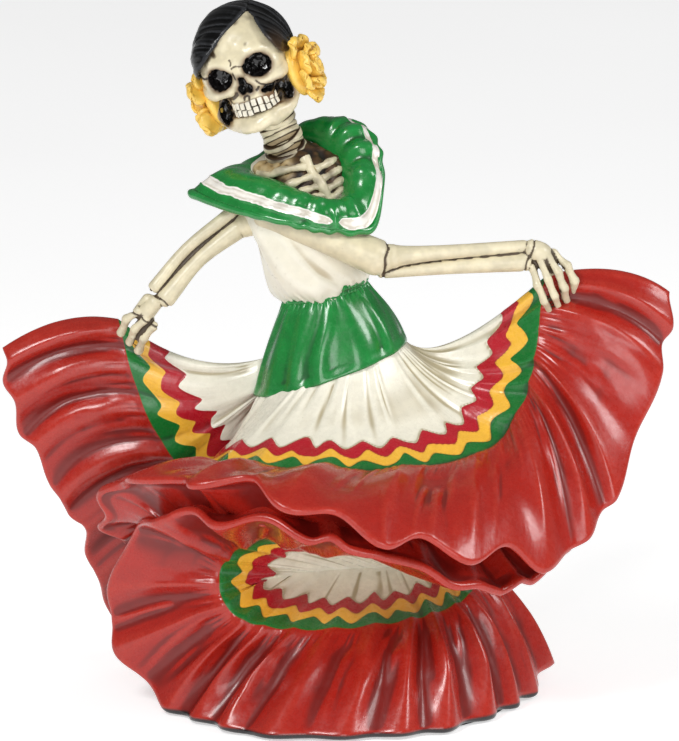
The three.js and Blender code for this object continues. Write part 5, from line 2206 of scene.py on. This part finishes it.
    def build(self) -> None:
        """Makes the skull, the teeth, the roses and the hair."""
        add_piece("skull", self.skull(), self.bone.material(self.bone_zones))
        self.teeth()
        for rose in (
            Rose("rose_by_the_left_ear", (13.2, 0.5, -8.4), seed=3),
            Rose("rose_by_the_right_ear", (-13.2, 1.5, -9.6), seed=8),
        ):
            rose.build(self)
        add_piece("hair", self.hair(), self.hair_paint.material(self.hair_zones))


# The studio


@dataclass
class Studio:
    """A pale floor, soft lights and a camera at the photograph's angle."""

    elevation: float = 13.0
    distance: float = 2.5  # metres from the camera to the figure
    pixel: float = 0.00026574  # metres on the figure for a pixel of the 679 by 741 frame
    height_in_pixels: int = 741
    sensor: float = 36.0  # millimetres
    target: Spot = (0.00064, 0.01108, 0.0892)
    lit: Spot = (0, 0, 0.09)  # where the lights point
    floor_half: float = 6.0
    floor_glow: float = 0.62
    sky: float = 0.22
    LIGHTS = (  # name, place, size in metres, power in watts
        ("key", (-0.55, -0.9, 0.95), 0.34, 8.6),
        ("side", (0.85, -0.35, 0.75), 0.36, 4.6),
        ("front", (0.15, -1.3, 0.35), 0.5, 3.6),
    )

    def camera(self) -> None:
        """Sets up the long-lens camera."""
        data = bpy.data.cameras.new("camera")
        data.sensor_width = self.sensor
        data.lens = self.sensor * self.distance / (self.pixel * self.height_in_pixels)
        data.clip_start, data.clip_end = 0.05, 20
        rise = math.radians(self.elevation)
        back = Vector((0, -math.cos(rise), math.sin(rise)))
        camera = add_object("camera", data)
        camera.location = Vector(self.target) + back * self.distance
        camera.rotation_mode = "QUATERNION"
        camera.rotation_quaternion = (-back).to_track_quat("-Z", "Y")
        bpy.context.scene.camera = camera

    def light(self, name: str, spot: Spot, size: float, power: float) -> None:
        """Adds a soft square light that faces the figure.

        Args:
            name: its name.
            spot: its place.
            size: its width.
            power: its power.
        """
        data = bpy.data.lights.new(name, "AREA")
        data.size, data.energy = size, power
        lamp = add_object(name, data)
        lamp.location = spot
        lamp.rotation_mode = "QUATERNION"
        lamp.rotation_quaternion = (Vector(self.lit) - Vector(spot)).to_track_quat("-Z", "Y")

    def floor(self) -> None:
        """Lays the pale floor."""
        recipe = Recipe("pale_floor")
        tone = recipe.blend(recipe.noise(3, 2), shade(240, 240, 240), shade(246, 246, 246))
        recipe.finish(
            {"Base Color": tone, "Roughness": 0.9, "Emission Color": tone, "Emission Strength": self.floor_glow}
        )
        mesh = bpy.data.meshes.new("floor")
        corners = ((-1, -1), (1, -1), (1, 1), (-1, 1))
        mesh.from_pydata([(x * self.floor_half, y * self.floor_half, 0) for x, y in corners], [], [(0, 1, 2, 3)])
        mesh.materials.append(recipe.material)
        add_object("floor", mesh)

    def build(self) -> None:
        """Makes the camera, the lights, the floor and the sky."""
        self.camera()
        for lamp in self.LIGHTS:
            self.light(*lamp)
        self.floor()
        world = bpy.data.worlds.new("studio")
        world.use_nodes = True
        background = next(n for n in world.node_tree.nodes if n.type == "BACKGROUND")
        background.inputs["Color"].default_value = (1, 1, 1, 1)
        background.inputs["Strength"].default_value = self.sky
        bpy.context.scene.world = world
        bpy.context.scene.view_settings.view_transform = "Standard"


def main() -> None:
    """Builds the figure and the studio."""
    logging.basicConfig(level=logging.INFO, format="%(message)s")
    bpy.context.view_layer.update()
    Studio().build()
    for part in (Skirt(), Yoke(), Chest(), Collar(), Arms(), Head()):
        part.build()


if __name__ == "__main__":
    main()
